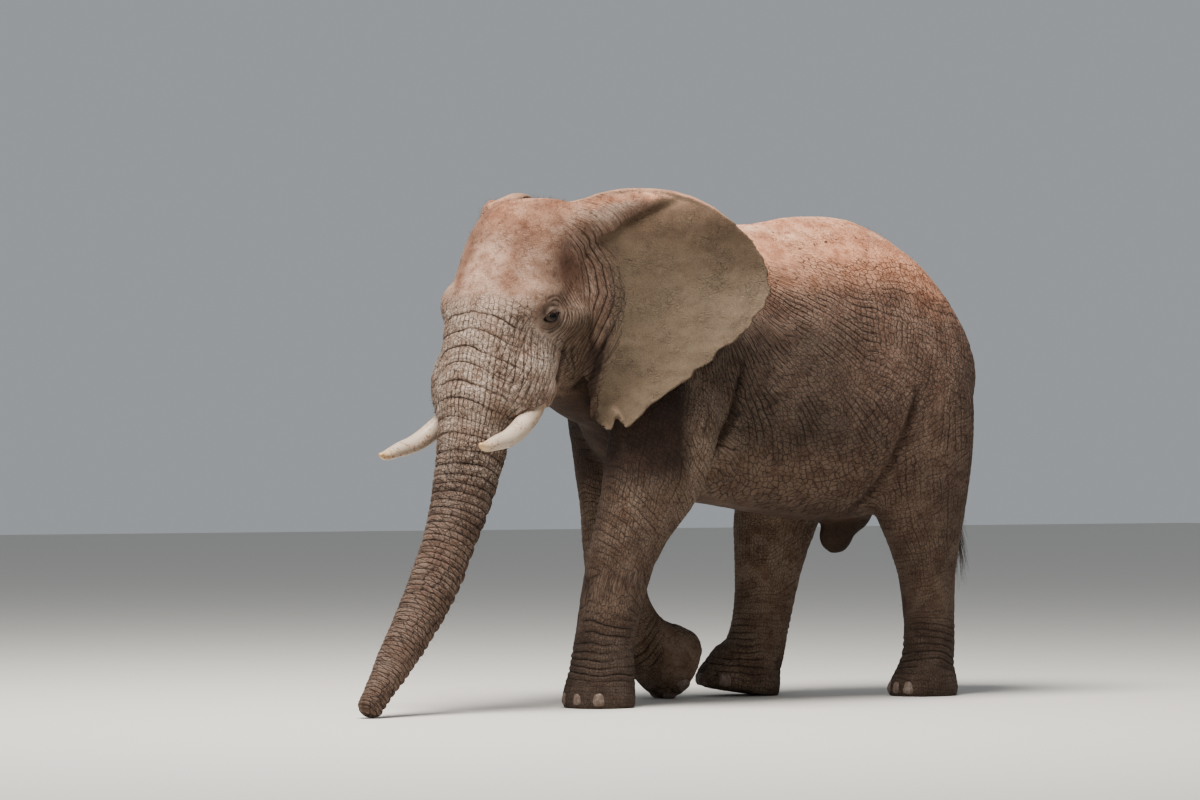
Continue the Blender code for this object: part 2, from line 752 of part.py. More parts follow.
def prism(x, y, top, slope=(0.0, 0.0), bottom=-0.2):
    """Upright cell over a rectangle of ground, with a sloping top."""
    bm = bmesh.new()
    bmesh.ops.create_cube(bm, size=1.0)
    for vert in bm.verts:
        upper = vert.co.z > 0
        away = Vector((vert.co.x * (x[1] - x[0]), vert.co.y * (y[1] - y[0])))
        vert.co.x = (x[0] + x[1]) / 2 + away.x
        vert.co.y = (y[0] + y[1]) / 2 + away.y
        vert.co.z = top + slope[0] * away.x + slope[1] * away.y if upper else bottom
    bm.transform(Matrix.Diagonal((UNIT, UNIT, UNIT, 1.0)))
    mesh = bpy.data.meshes.new("cell")
    bm.to_mesh(mesh)
    bm.free()
    return mesh


def leg_cells(names, side, foot, knee, top, low_run, high_run):
    """Foot, shank and upper leg: height and slope of each cut, and its run along the body."""
    x = sorted((side * 0.04, side * 0.85))
    return [
        (names[0], prism(x, low_run, foot[0], (0.0, foot[1]))),
        (names[1], prism(x, low_run, knee[0], (0.0, knee[1]))),
        (names[2], prism(x, high_run, top, (side * 0.55, 0.0))),
    ]


def cell_list():
    """Cells in the order they are cut away; whatever is left at the end is the torso."""
    head = head_matrix()

    def tipped(x, y, z, tip):
        return Matrix.Translation(Vector((x, y, z)) * UNIT) @ Matrix.Rotation(tip, 4, "X")

    cells = [
        ("trunk_tip", trunk_cell(24)),
        ("trunk_lower", trunk_cell(19)),
        ("trunk_middle", trunk_cell(14)),
        ("trunk_upper", trunk_cell(8)),
        ("lower_jaw", box((0.8, 0.60, 0.6), head @ tipped(0, -0.13, 1.58, 0.42))),
        ("head", box((2.4, 2.4, 2.4), head @ tipped(0, -1.16, 2.45, -0.15))),
    ]
    fore_left = ("forefoot_left", "foreleg_left_lower", "foreleg_left_upper")
    fore_right = ("forefoot_right", "foreleg_right_lower", "foreleg_right_upper")
    hind_left = ("hindfoot_left", "hindleg_left_shank", "hindleg_left_thigh")
    hind_right = ("hindfoot_right", "hindleg_right_shank", "hindleg_right_thigh")
    for names, side, foot, knee, top, low_run, high_run in (
        (fore_left, 1, (0.24, 0.0), (0.92, -0.25), 1.52, (-1.80, -0.70), (-1.80, -0.70)),
        (fore_right, -1, (0.38, 0.9), (0.92, 0.0), 1.52, (-1.40, -0.285), (-1.40, -0.50)),
        (hind_left, 1, (0.22, 0.0), (0.90, 0.12), 1.58, (0.40, 1.60), (0.44, 1.60)),
        (hind_right, -1, (0.24, -0.1), (0.84, -0.10), 1.58, (-0.284, 1.10), (0.03, 1.10)),
    ):
        cells += leg_cells(names, side, foot, knee, top, low_run, high_run)
    cells += [
        ("neck", box((2.4, 2.4, 2.6), tipped(0, -2.36, 2.45, 0.20))),
        ("belly_sheath", prism((-0.25, 0.25), (0.30, 0.92), 1.09, (0.0, 0.05))),
    ]
    return cells


def enlarged(mesh):
    """Cell swollen by the clearance, square to its faces."""
    bm = bmesh.new()
    bm.from_mesh(mesh)
    bm.normal_update()
    moves = {}
    for vert in bm.verts:
        moves[vert] = sum((face.normal for face in vert.link_faces), Vector()) * GAP
    for vert, move in moves.items():
        vert.co += move
    wider = bpy.data.meshes.new("cell")
    bm.to_mesh(wider)
    bm.free()
    return wider


def part_flesh(flesh, collection, helpers):
    """Cut each cell's flesh away from the whole, leaving a hairline between them."""
    pieces = []
    for name, mesh in cell_list():
        cell = hidden(place("cell_" + name, mesh, helpers))
        pieces.append(place(name, carved(flesh, cell, "INTERSECT"), collection))
        cell.data = enlarged(mesh)
        flesh.data = carved(flesh, cell, "DIFFERENCE")
    pieces.append(place("torso", flesh.data.copy(), collection))
    return pieces


def shade(obj, finish):
    obj.data.materials.clear()
    obj.data.materials.append(finish)
    obj.data.shade_smooth()


def centre_on_origin(collection):
    """Move everything so the bounding box stands on the origin."""
    low = Vector((math.inf,) * 3)
    high = Vector((-math.inf,) * 3)
    for obj in collection.objects:
        for vert in obj.data.vertices:
            low = Vector(map(min, low, vert.co))
            high = Vector(map(max, high, vert.co))
    shift = Vector((-(low.x + high.x) / 2, -(low.y + high.y) / 2, -low.z))
    for obj in collection.objects:
        obj.data.transform(Matrix.Translation(shift))


def main():
    clear_scene()
    collection = new_collection("elephant")
    helpers = new_collection("cutters")
    hide = material("hide", HIDE, 0.85)
    ear_hide = material("ear_hide", EAR_HIDE, 0.8)
    ivory = material("ivory", IVORY, 0.4)
    horn = material("nail_horn", NAIL_HORN, 0.6)
    iris = material("eye", IRIS, 0.08)
    hair = material("tail_hair", TAIL_HAIR, 0.6)

    flesh = fused(body_forms() + head_forms(), helpers)
    cut_soles(flesh, helpers)
    tree = surface_tree(flesh)

    inserts = []
    for side, word in ((1, "left"), (-1, "right")):
        inserts.append(("eye_" + word, eye_mesh(side, tree), iris))
        inserts.append(("tusk_" + word, tusk_mesh(side), ivory))
    nails = {foot: standing_nails(foot, tree) for foot in STANDING_NAILS}
    nails["forefoot_right"] = bent_hand_nails()
    for foot, meshes in nails.items():
        for number, mesh in enumerate(meshes, 1):
            inserts.append((f"{foot}_nail_{number}", mesh, horn))

    attached = [
        ("ear_left", ear_mesh(1), ear_hide),
        ("ear_right", ear_mesh(-1), ear_hide),
    ]
    tail, tuft = tail_meshes()
    attached.append(("tail", tail, hide))
    skin_cutter = hidden(place("skin_cutter", grown(flesh.data), helpers))
    for name, mesh, finish in attached:
        piece = place(name, mesh, collection)
        piece.data = carved(piece, skin_cutter, "DIFFERENCE")
        shade(piece, finish)
    shade(place("tail_tuft", tuft, collection), hair)

    sockets = hidden(place("sockets", joined([grown(m) for _, m, _ in inserts]), helpers))
    flesh.data = carved(flesh, sockets, "DIFFERENCE")
    for name, mesh, finish in inserts:
        piece = place(name, mesh, collection)
        if min(vert.co.z for vert in mesh.vertices) < 0:
            piece.data = carved(piece, bpy.data.objects["floor_cut"], "DIFFERENCE")
        shade(piece, finish)
    for piece in part_flesh(flesh, collection, helpers):
        shade(piece, hide)
    centre_on_origin(collection)


main()
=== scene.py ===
"""African bush elephant, adult bull, walking: its looks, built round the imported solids.

Metres, +Z up.  The elephant faces -Y and its left side is +X.  The flesh is made again from
its lofted forms, fused into one skin with the ears and tail, and then carved with folds.
"""

import math

import bmesh
import bpy
import numpy as np
from mathutils import Matrix, Vector
from mathutils.kdtree import KDTree


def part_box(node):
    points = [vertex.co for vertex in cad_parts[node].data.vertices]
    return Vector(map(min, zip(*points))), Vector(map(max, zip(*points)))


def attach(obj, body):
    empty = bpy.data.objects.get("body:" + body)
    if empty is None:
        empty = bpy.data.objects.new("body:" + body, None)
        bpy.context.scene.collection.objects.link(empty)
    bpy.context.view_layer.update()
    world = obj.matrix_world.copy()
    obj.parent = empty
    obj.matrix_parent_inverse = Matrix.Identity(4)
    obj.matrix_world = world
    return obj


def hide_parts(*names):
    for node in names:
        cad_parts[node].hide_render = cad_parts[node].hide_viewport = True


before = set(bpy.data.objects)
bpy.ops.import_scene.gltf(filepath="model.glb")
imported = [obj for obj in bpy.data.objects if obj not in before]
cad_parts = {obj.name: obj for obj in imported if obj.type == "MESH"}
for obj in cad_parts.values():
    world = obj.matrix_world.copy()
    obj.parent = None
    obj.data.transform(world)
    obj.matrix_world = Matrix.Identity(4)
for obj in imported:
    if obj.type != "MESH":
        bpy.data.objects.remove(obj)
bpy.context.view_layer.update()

# ---------------------------------------------------------------- sizes
STANDPOINT = Vector((0.01109, 0.90193, 0.0))  # from the animal's own origin to the frame's
RING_POINTS = 28  # points round each lofted section
BODY_VOXEL = 0.026  # cells that fuse the flesh
BODY_SMOOTHING = 8
SKIN_VOXEL = 0.0105  # cells of the finished skin
SKIN_SMOOTHING = 2

ATLAS = Vector((0.02, -1.70, 0.0))  # where the skull meets the neck, in plan
HEAD_YAW = math.radians(19)

TUSK_RADIUS = 0.060
TUSK_ROOT = 0.10  # length hidden in the sheath

EAR_SPREAD = {1: math.radians(57), -1: math.radians(50)}  # turned back from straight out
EAR_LOBE_SPREAD = {1: math.radians(34), -1: math.radians(36)}  # and the lobe, less
EAR_ROOT = 0.38  # of its hinge, from the head's middle
EAR_THICK_ROOT = 0.044
EAR_THICK_MARGIN = 0.021
EAR_CUP = 0.06  # hollow of the sheet
EAR_ROLL = 0.13  # how far the upper edge rolls back
EAR_ROLL_FROM = 2.80  # height where the roll starts
EAR_ROLL_RISE = 0.24  # and over which it grows
EAR_RIPPLE = 0.022  # of the margin, to and fro
EAR_RIPPLE_PITCH = 9.0  # radians to a metre of height
EAR_LOBE_FROM = 2.45  # height where the ear starts to turn into its lobe
EAR_LOBE_RUN = 0.6  # and over which it does
EAR_ROWS = 96  # points down the sheet
EAR_COLUMNS = 26  # and across it

HAND_RIGHT_X = -0.33  # of the bent forefoot
SIDE_NAMES = {1: "left", -1: "right"}


def place(name, data):
    """Puts a mesh, lamp or camera in the scene as an object."""
    obj = bpy.data.objects.new(name, data)
    bpy.context.scene.collection.objects.link(obj)
    return obj


def evaluated_mesh(obj):
    """The object's mesh with its modifiers worked out."""
    bpy.context.view_layer.update()
    graph = bpy.context.evaluated_depsgraph_get()
    return bpy.data.meshes.new_from_object(obj.evaluated_get(graph))


def mesh_of(bm, name):
    """Ends a bmesh and gives what it holds as a mesh."""
    mesh = bpy.data.meshes.new(name)
    bm.to_mesh(mesh)
    bm.free()
    return mesh


def between_rings(bm, rings):
    """Faces from each ring of points to the next."""
    for ring, after in zip(rings, rings[1:]):
        for i in range(len(ring)):
            j = (i + 1) % len(ring)
            bm.faces.new((ring[i], ring[j], after[j], after[i]))


# ---------------------------------------------------------------- sections and lofts
def superellipse(angle, power):
    """Point on a unit superellipse: power 2 is a circle, more is squarer."""
    c, s = math.cos(angle), math.sin(angle)
    return (
        math.copysign(abs(c) ** (2 / power), c),
        math.copysign(abs(s) ** (2 / power), s),
    )


CROWN_POWER = 1.9  # roundness of the body's sections above their widest point
KEEL_POWER = 2.25  # and below it, where they are squarer


def upright_ring(y, top, bottom, half, widest, x=0.0):
    """Section across the body, in the XZ plane, with its own roundness above and below."""
    points = []
    for i in range(RING_POINTS):
        angle = 2 * math.pi * i / RING_POINTS
        above = math.sin(angle) > 0
        across, up = superellipse(angle, CROWN_POWER if above else KEEL_POWER)
        height = (top - widest) if above else (widest - bottom)
        points.append(Vector((x + half * across, y, widest + height * up)))
    return points


def level_ring(z, x, y, side, front, back, power=2.1, lean=0.0):
    """Level section, as across a leg or the head; lean tips it forward, in radians."""
    points = []
    for i in range(RING_POINTS):
        angle = 2 * math.pi * i / RING_POINTS
        across, along = superellipse(angle, power)
        reach = along * (back if along > 0 else front)
        points.append(
            Vector((x + side * across, y + reach * math.cos(lean), z + reach * math.sin(lean)))
        )
    return points


def path_rings(rows, x=0.0, power=2.1, count=RING_POINTS):
    """Sections square to a path in the YZ plane: y, z, half width, half depth."""
    rings = []
    for i, (y, z, side, depth) in enumerate(rows):
        before = rows[max(0, i - 1)]
        after = rows[min(len(rows) - 1, i + 1)]
        ahead = Vector((0, after[0] - before[0], after[1] - before[1])).normalized()
        deep = ahead.cross(Vector((1, 0, 0)))
        points = []
        for k in range(count):
            a, b = superellipse(2 * math.pi * k / count, power)
            points.append(Vector((x + side * a, y, z)) + deep * depth * b)
        rings.append(points)
    return rings


def eased(keys, count):
    """Rows of numbers eased through key rows (Catmull-Rom), for a loft with few stations."""
    rows = []
    last = len(keys) - 1
    for n in range(count):
        t = n * last / (count - 1)
        i = min(int(t), last - 1)
        f = t - i
        a, b, c, d = (keys[max(0, min(last, i + k))] for k in (-1, 0, 1, 2))
        row = []
        for p, q, r, s in zip(a, b, c, d):
            bend = 2 * p - 5 * q + 4 * r - s
            twist = 3 * q - p - 3 * r + s
            row.append(0.5 * (2 * q + (r - p) * f + bend * f**2 + twist * f**3))
        rows.append(row)
    return rows


def loft(rings):
    """Closed mesh through a row of rings, capped at both ends."""
    bm = bmesh.new()
    rows = [[bm.verts.new(p) for p in ring] for ring in rings]
    between_rings(bm, rows)
    bm.faces.new(rows[0])
    bm.faces.new(rows[-1])
    bmesh.ops.triangulate(bm, faces=bm.faces)
    bmesh.ops.recalc_face_normals(bm, faces=bm.faces)
    return mesh_of(bm, "form")


ELLIPSOID_SEGMENTS = 20
ELLIPSOID_RINGS = 12


def ellipsoid(centre, radii, tip):
    """Ellipsoid, tipped about X by an angle in radians."""
    bm = bmesh.new()
    bmesh.ops.create_uvsphere(
        bm, u_segments=ELLIPSOID_SEGMENTS, v_segments=ELLIPSOID_RINGS, radius=1.0
    )
    sized = Matrix.Diagonal((*radii, 1.0))
    turned = Matrix.Rotation(tip, 4, "X")
    bm.transform(Matrix.Translation(Vector(centre)) @ turned @ sized)
    return mesh_of(bm, "form")


# ---------------------------------------------------------------- the flesh, as forms
# Torso: y, top, bottom, half width, height of the widest point
TORSO = [
    (-1.42, 2.45, 2.00, 0.14, 2.22),
    (-1.30, 2.72, 1.62, 0.33, 2.12),
    (-1.05, 2.90, 1.36, 0.45, 2.00),
    (-0.70, 2.94, 1.23, 0.54, 1.90),
    (-0.25, 2.89, 1.16, 0.61, 1.82),
    (0.20, 2.95, 1.10, 0.655, 1.80),
    (0.60, 2.95, 1.09, 0.65, 1.84),
    (0.95, 2.80, 1.20, 0.60, 1.95),
    (1.22, 2.54, 1.40, 0.50, 2.00),
    (1.39, 2.28, 1.64, 0.34, 2.00),
    (1.46, 2.08, 1.84, 0.12, 1.96),
]

# Neck: y, top, bottom, half width, height of the widest point, sideways shift
NECK = [
    (-1.02, 2.80, 1.66, 0.40, 2.15, 0.00),
    (-1.35, 2.86, 1.66, 0.38, 2.22, 0.00),
    (-1.62, 2.90, 1.78, 0.36, 2.32, 0.03),
    (-1.86, 2.86, 1.94, 0.30, 2.42, 0.06),
]

# Legs: z, x, y, half width, reach forward, reach back
FORELEG_LEFT = [
    (2.55, 0.30, -0.88, 0.16, 0.20, 0.22),
    (2.20, 0.37, -0.94, 0.22, 0.32, 0.30),
    (1.80, 0.40, -1.05, 0.235, 0.36, 0.36),
    (1.45, 0.40, -1.15, 0.225, 0.33, 0.40),
    (1.20, 0.385, -1.23, 0.205, 0.28, 0.36),
    (0.90, 0.365, -1.36, 0.19, 0.215, 0.225),
    (0.62, 0.35, -1.43, 0.185, 0.19, 0.19),
    (0.38, 0.34, -1.475, 0.18, 0.185, 0.18),
    (0.20, 0.335, -1.49, 0.195, 0.205, 0.195),
    (0.07, 0.33, -1.505, 0.215, 0.225, 0.215),
    (-0.02, 0.33, -1.505, 0.208, 0.218, 0.208),
]

FORELEG_RIGHT = [
    (2.55, -0.30, -0.86, 0.16, 0.20, 0.22),
    (2.20, -0.37, -0.88, 0.22, 0.32, 0.30),
    (1.80, -0.40, -0.88, 0.235, 0.30, 0.34),
    (1.45, -0.39, -0.87, 0.225, 0.26, 0.32),
    (1.20, -0.375, -0.87, 0.205, 0.23, 0.26),
    (0.90, -0.35, -0.90, 0.185, 0.195, 0.20),
    (0.66, -0.335, -0.89, 0.175, 0.18, 0.18),
]

# Forefoot bent back at the wrist: y, z, half width, half depth
HAND_RIGHT = [
    (-0.90, 0.78, 0.175, 0.175),
    (-0.88, 0.60, 0.178, 0.182),
    (-0.80, 0.45, 0.178, 0.182),
    (-0.67, 0.33, 0.182, 0.190),
    (-0.55, 0.255, 0.205, 0.225),
    (-0.45, 0.20, 0.215, 0.235),
    (-0.41, 0.18, 0.200, 0.220),
]

HINDLEG_LEFT = [
    (2.45, 0.30, 0.84, 0.20, 0.30, 0.28),
    (2.00, 0.38, 0.87, 0.24, 0.42, 0.39),
    (1.65, 0.40, 0.89, 0.24, 0.44, 0.39),
    (1.35, 0.385, 0.90, 0.225, 0.38, 0.36),
    (1.08, 0.36, 0.94, 0.20, 0.31, 0.29),
    (0.90, 0.34, 0.98, 0.175, 0.24, 0.23),
    (0.65, 0.32, 1.02, 0.155, 0.175, 0.170),
    (0.36, 0.31, 1.04, 0.152, 0.165, 0.165),
    (0.20, 0.31, 1.01, 0.165, 0.165, 0.18),
    (0.07, 0.31, 0.985, 0.195, 0.225, 0.235),
    (-0.02, 0.31, 0.985, 0.188, 0.218, 0.228),
]

HINDLEG_RIGHT = [
    (2.45, -0.30, 0.80, 0.20, 0.30, 0.28),
    (2.00, -0.38, 0.77, 0.24, 0.42, 0.38),
    (1.65, -0.40, 0.67, 0.24, 0.42, 0.38),
    (1.35, -0.39, 0.50, 0.22, 0.36, 0.35),
    (1.08, -0.365, 0.35, 0.20, 0.29, 0.32),
    (0.86, -0.345, 0.28, 0.18, 0.22, 0.27),
    (0.60, -0.335, 0.235, 0.165, 0.19, 0.215),
    (0.36, -0.335, 0.19, 0.165, 0.195, 0.20),
    (0.20, -0.335, 0.13, 0.18, 0.25, 0.22),
]

# Hind foot with its heel down and toes lifted
HEEL_RIGHT = [
    (0.30, -0.335, 0.15, 0.17, 0.23, 0.21),
    (0.18, -0.335, 0.09, 0.185, 0.29, 0.24),
    (0.08, -0.335, 0.06, 0.20, 0.33, 0.27),
    (0.02, -0.335, 0.06, 0.19, 0.31, 0.26),
]
TOES_LIFTED = math.radians(9)

# Skull and face, in the head's own directions: z, x, y, half width, forward, back
SKULL = [
    (3.005, 0.0, -0.06, 0.11, 0.10, 0.12),
    (2.98, 0.0, -0.08, 0.215, 0.19, 0.22),
    (2.90, 0.0, -0.11, 0.30, 0.27, 0.31),
    (2.76, 0.0, -0.14, 0.35, 0.35, 0.37),
    (2.60, 0.0, -0.16, 0.37, 0.42, 0.40),
    (2.42, 0.0, -0.20, 0.365, 0.47, 0.38),
    (2.28, 0.0, -0.24, 0.365, 0.49, 0.38),
    (2.12, 0.0, -0.30, 0.345, 0.48, 0.36),
    (1.96, 0.0, -0.40, 0.325, 0.43, 0.30),
    (1.82, 0.0, -0.50, 0.30, 0.37, 0.22),
    (1.72, 0.0, -0.56, 0.26, 0.31, 0.16),
]

# Trunk, from inside the face to the tip: y, z, half width, half depth
TRUNK = [
    (-0.50, 2.25, 0.24, 0.22),
    (-0.57, 2.00, 0.240, 0.225),
    (-0.64, 1.75, 0.228, 0.220),
    (-0.71, 1.50, 0.205, 0.200),
    (-0.80, 1.25, 0.178, 0.174),
    (-0.92, 1.00, 0.152, 0.150),
    (-1.062, 0.76, 0.146, 0.142),
    (-1.232, 0.54, 0.131, 0.126),
    (-1.422, 0.33, 0.110, 0.106),
    (-1.60, 0.14, 0.084, 0.080),
    (-1.70, 0.03, 0.080, 0.070),
]
TRUNK_STATIONS = 30

# Tusks beyond the lip, in the head's own directions: x, y, z, radius share
TUSK_LEFT = [
    (0.285, -0.43, 1.82, 0.94),
    (0.300, -0.52, 1.735, 1.0),
    (0.320, -0.66, 1.645, 0.98),
    (0.337, -0.80, 1.585, 0.90),
    (0.350, -0.94, 1.555, 0.74),
    (0.358, -1.05, 1.535, 0.50),
    (0.360, -1.105, 1.545, 0.22),
]
TUSK_RIGHT_DROP = 0.06  # the right tusk hangs a little lower at its tip

# Swellings: centre, radii, tip forward in radians.  The penile sheath hangs from the belly.
BELLY_SWELLINGS = [
    ((0.0, 0.665, 1.09), (0.088, 0.165, 0.095), 0.35),
    ((0.0, 0.548, 0.992), (0.064, 0.135, 0.12), 0.2),
]
# Lower jaw and lip, in the head's own directions
JAW_SWELLINGS = [
    ((0.0, -0.16, 1.96), (0.22, 0.34, 0.15), 0.42),
    ((0.0, -0.35, 1.75), (0.09, 0.13, 0.12), 0.6),
]
# Brow, cheekbone, cheek, tusk sheath, its lip and the root of the ear: on the left, in the
# head's own directions
FACE_SWELLINGS = [
    ((0.25, -0.44, 2.35), (0.115, 0.18, 0.17), -0.1),
    ((0.29, -0.18, 2.27), (0.115, 0.32, 0.13), 0.0),
    ((0.245, -0.12, 2.06), (0.11, 0.33, 0.17), 0.42),
    ((0.28, -0.525, 1.91), (0.10, 0.16, 0.24), -0.25),
    ((0.285, -0.43, 1.865), (0.095, 0.12, 0.115), 0.0),
    ((0.30, 0.03, 2.86), (0.14, 0.17, 0.15), 0.0),
    ((0.42, 0.10, 2.90), (0.085, 0.12, 0.13), 0.0),
    ((0.49, 0.19, 2.94), (0.06, 0.11, 0.10), 0.0),
]

# Ear: outer margin and inner edge, paired: distance out from the hinge, height
EAR_MARGIN = [
    (-0.10, 2.985),
    (0.08, 3.045),
    (0.27, 3.065),
    (0.50, 3.045),
    (0.69, 2.965),
    (0.87, 2.82),
    (0.98, 2.69),
    (1.045, 2.53),
    (1.03, 2.41),
    (0.98, 2.32),
    (0.91, 2.225),
    (0.80, 2.115),
    (0.67, 2.01),
    (0.55, 1.915),
    (0.37, 1.79),
    (0.215, 1.645),
    (0.15, 1.735),
    (0.115, 1.635),
    (0.05, 1.645),
]
EAR_INNER = [
    (-0.17, 2.90),
    (-0.15, 2.84),
    (-0.13, 2.78),
    (-0.11, 2.72),
    (-0.09, 2.66),
    (-0.08, 2.58),
    (-0.07, 2.50),
    (-0.06, 2.42),
    (-0.06, 2.34),
    (-0.06, 2.26),
    (-0.06, 2.18),
    (-0.06, 2.10),
    (-0.06, 2.03),
    (-0.06, 1.97),
    (-0.05, 1.92),
    (-0.04, 1.87),
    (-0.035, 1.83),
    (-0.03, 1.77),
    (-0.02, 1.70),
]

# Tail, hanging behind the rump: y, z, half width, half depth
TAIL = [
    (1.22, 2.46, 0.060, 0.055),
    (1.38, 2.37, 0.070, 0.058),
    (1.475, 2.20, 0.058, 0.046),
    (1.515, 1.92, 0.044, 0.036),
    (1.505, 1.60, 0.034, 0.028),
    (1.485, 1.30, 0.027, 0.022),
    (1.475, 1.05, 0.022, 0.018),
]


def head_matrix():
    """From the head's own directions to the animal's."""
    return Matrix.Translation(ATLAS) @ Matrix.Rotation(HEAD_YAW, 4, "Z")


def head_point(x, y, z):
    """A place given in the head's own directions."""
    return head_matrix() @ Vector((x, y, z))


def level_loft(keys, count, power=2.1, lean=0.0):
    """Leg or skull, lofted through level sections."""
    return loft([level_ring(*row, power=power, lean=lean) for row in eased(keys, count)])


def upright_loft(keys, count):
    """Torso or neck, lofted through upright sections."""
    return loft([upright_ring(*row) for row in eased(keys, count)])


def body_forms():
    """Torso, neck and legs, still overlapping."""
    forms = [
        upright_loft(TORSO, 24),
        upright_loft(NECK, 9),
        level_loft(FORELEG_LEFT, 20),
        level_loft(FORELEG_RIGHT, 14),
        level_loft(HINDLEG_LEFT, 20),
        level_loft(HINDLEG_RIGHT, 16),
        level_loft(HEEL_RIGHT, 7, lean=-TOES_LIFTED),
        loft(path_rings(eased(HAND_RIGHT, 13), x=HAND_RIGHT_X)),
    ]
    return forms + [ellipsoid(*swelling) for swelling in BELLY_SWELLINGS]


def head_forms():
    """Skull, trunk, brows, cheeks, tusk sheaths and lower jaw, turned with the head."""
    forms = [
        level_loft(SKULL, 24, power=2.3),
        loft(path_rings(eased(TRUNK, TRUNK_STATIONS), power=2.2)),
    ]
    forms += [ellipsoid(*swelling) for swelling in JAW_SWELLINGS]
    for (x, y, z), radii, tip in FACE_SWELLINGS:
        forms += [ellipsoid((side * x, y, z), radii, tip) for side in (1, -1)]
    for form in forms:
        form.transform(head_matrix())
    return forms


# ---------------------------------------------------------------- ears
def ear_offset(height, across):
    """How far the ear's sheet stands off its flat plane, towards the front."""
    hollow = -EAR_CUP * math.sin(math.pi * min(1.0, max(0.0, across)))
    top = min(1.0, max(0.0, (height - EAR_ROLL_FROM) / EAR_ROLL_RISE))
    rolled = -EAR_ROLL * top**2
    ripple = EAR_RIPPLE * math.sin(EAR_RIPPLE_PITCH * height) * across**2
    return hollow + rolled + ripple


def ear_directions(side, height):
    """Ways out from the hinge and ahead of the sheet; the lobe stands further out."""
    low = min(1.0, max(0.0, (EAR_LOBE_FROM + 0.15 - height) / (EAR_LOBE_RUN + 0.30)))
    low = low * low * (3 - 2 * low)
    spread = EAR_SPREAD[side] + (EAR_LOBE_SPREAD[side] - EAR_SPREAD[side]) * low
    outward = Vector((side * math.cos(spread), math.sin(spread), 0.0))
    ahead = Vector((side * math.sin(spread), -math.cos(spread), 0.0))
    return outward, ahead


# Nicks in the ear's margin: height, half width, depth
EAR_NICKS = ((2.52, 0.030, 0.020), (2.30, 0.025, 0.016), (2.10, 0.030, 0.040), (1.98, 0.020, 0.018))


def ear_wear(height):
    """How far the margin is worn back from its full outline."""
    worn = 0.004 * (1 + math.sin(61 * height)) + 0.003 * (1 + math.sin(89 * height + 1))
    for middle, half, deep in EAR_NICKS:
        worn += deep * math.exp(-(((height - middle) / half) ** 2))
    return worn


def ear_sheet(side):
    """Rows of (middle, ahead, thickness, across) over the ear."""
    hinge = head_point(side * EAR_ROOT, 0.0, 0.0)
    sheet = []
    for near, far in zip(eased(EAR_INNER, EAR_ROWS), eased(EAR_MARGIN, EAR_ROWS)):
        row = []
        reach = far[0] - ear_wear(far[1]) * min(1.0, max(0.0, far[0] / 0.3))
        for column in range(EAR_COLUMNS):
            across = column / (EAR_COLUMNS - 1)
            out = near[0] + (reach - near[0]) * across
            height = near[1] + (far[1] - near[1]) * across
            outward, ahead = ear_directions(side, height)
            middle = hinge + outward * out + Vector((0, 0, height))
            middle += ahead * ear_offset(height, across)
            thick = EAR_THICK_ROOT + (EAR_THICK_MARGIN - EAR_THICK_ROOT) * across
            row.append((middle, ahead, thick, across))
        sheet.append(row)
    return sheet


def ear_mesh(side):
    """Tapering sheet between the ear's inner edge and its outer margin."""
    bm = bmesh.new()
    sheet = ear_sheet(side)
    front, rear = (
        [[bm.verts.new(p + ahead * face * thick / 2) for p, ahead, thick, _ in row] for row in sheet]
        for face in (1, -1)
    )
    for i in range(EAR_ROWS - 1):
        for j in range(EAR_COLUMNS - 1):
            for grid in (front, rear):
                bm.faces.new((grid[i][j], grid[i + 1][j], grid[i + 1][j + 1], grid[i][j + 1]))
        for j in (0, EAR_COLUMNS - 1):
            bm.faces.new((front[i][j], front[i + 1][j], rear[i + 1][j], rear[i][j]))
    for j in range(EAR_COLUMNS - 1):
        for i in (0, EAR_ROWS - 1):
            bm.faces.new((front[i][j], front[i][j + 1], rear[i][j + 1], rear[i][j]))
    bmesh.ops.triangulate(bm, faces=bm.faces)
    bmesh.ops.recalc_face_normals(bm, faces=bm.faces)
    return mesh_of(bm, "ear")


def round_ring(middle, across, over, radius, count):
    """Circle of points round a middle, in the plane of two directions."""
    turns = [2 * math.pi * k / count for k in range(count)]
    return [middle + (across * math.cos(a) + over * math.sin(a)) * radius for a in turns]


EAR_BEAD_ROWS = 26  # the rolled top hem runs over this many rows of the ear
EAR_BEAD = (0.085, 0.012)  # its radius at the root and where it fades out
EAR_ROLL_POINTS = 16  # round the hem and the root's roll


def ear_bead(side):
    """Rolled hem along the top of the ear, thick where it grows out of the crown."""
    rows = ear_sheet(side)[:EAR_BEAD_ROWS]
    rings = []
    for i, row in enumerate(rows):
        share = i / (len(rows) - 1)
        radius = EAR_BEAD[0] + (EAR_BEAD[1] - EAR_BEAD[0]) * share**0.6
        edge, ahead = row[-1][0], row[-1][1]
        inward = (row[-4][0] - edge).normalized()
        middle = edge + inward * radius * 0.95 + ahead * radius * (0.25 - 0.45 * share)
        rings.append(round_ring(middle, inward, ahead, radius, EAR_ROLL_POINTS))
    return loft(rings)


# The root's roll running out along the upper ear: out from the hinge, height, ahead, radius
EAR_SWELL = [
    (0.12, 2.920, -0.075, 0.095),
    (0.22, 2.950, -0.088, 0.088),
    (0.34, 2.975, -0.100, 0.068),
    (0.46, 2.985, -0.108, 0.044),
    (0.58, 2.970, -0.097, 0.018),
]
EAR_SWELL_RINGS = 24


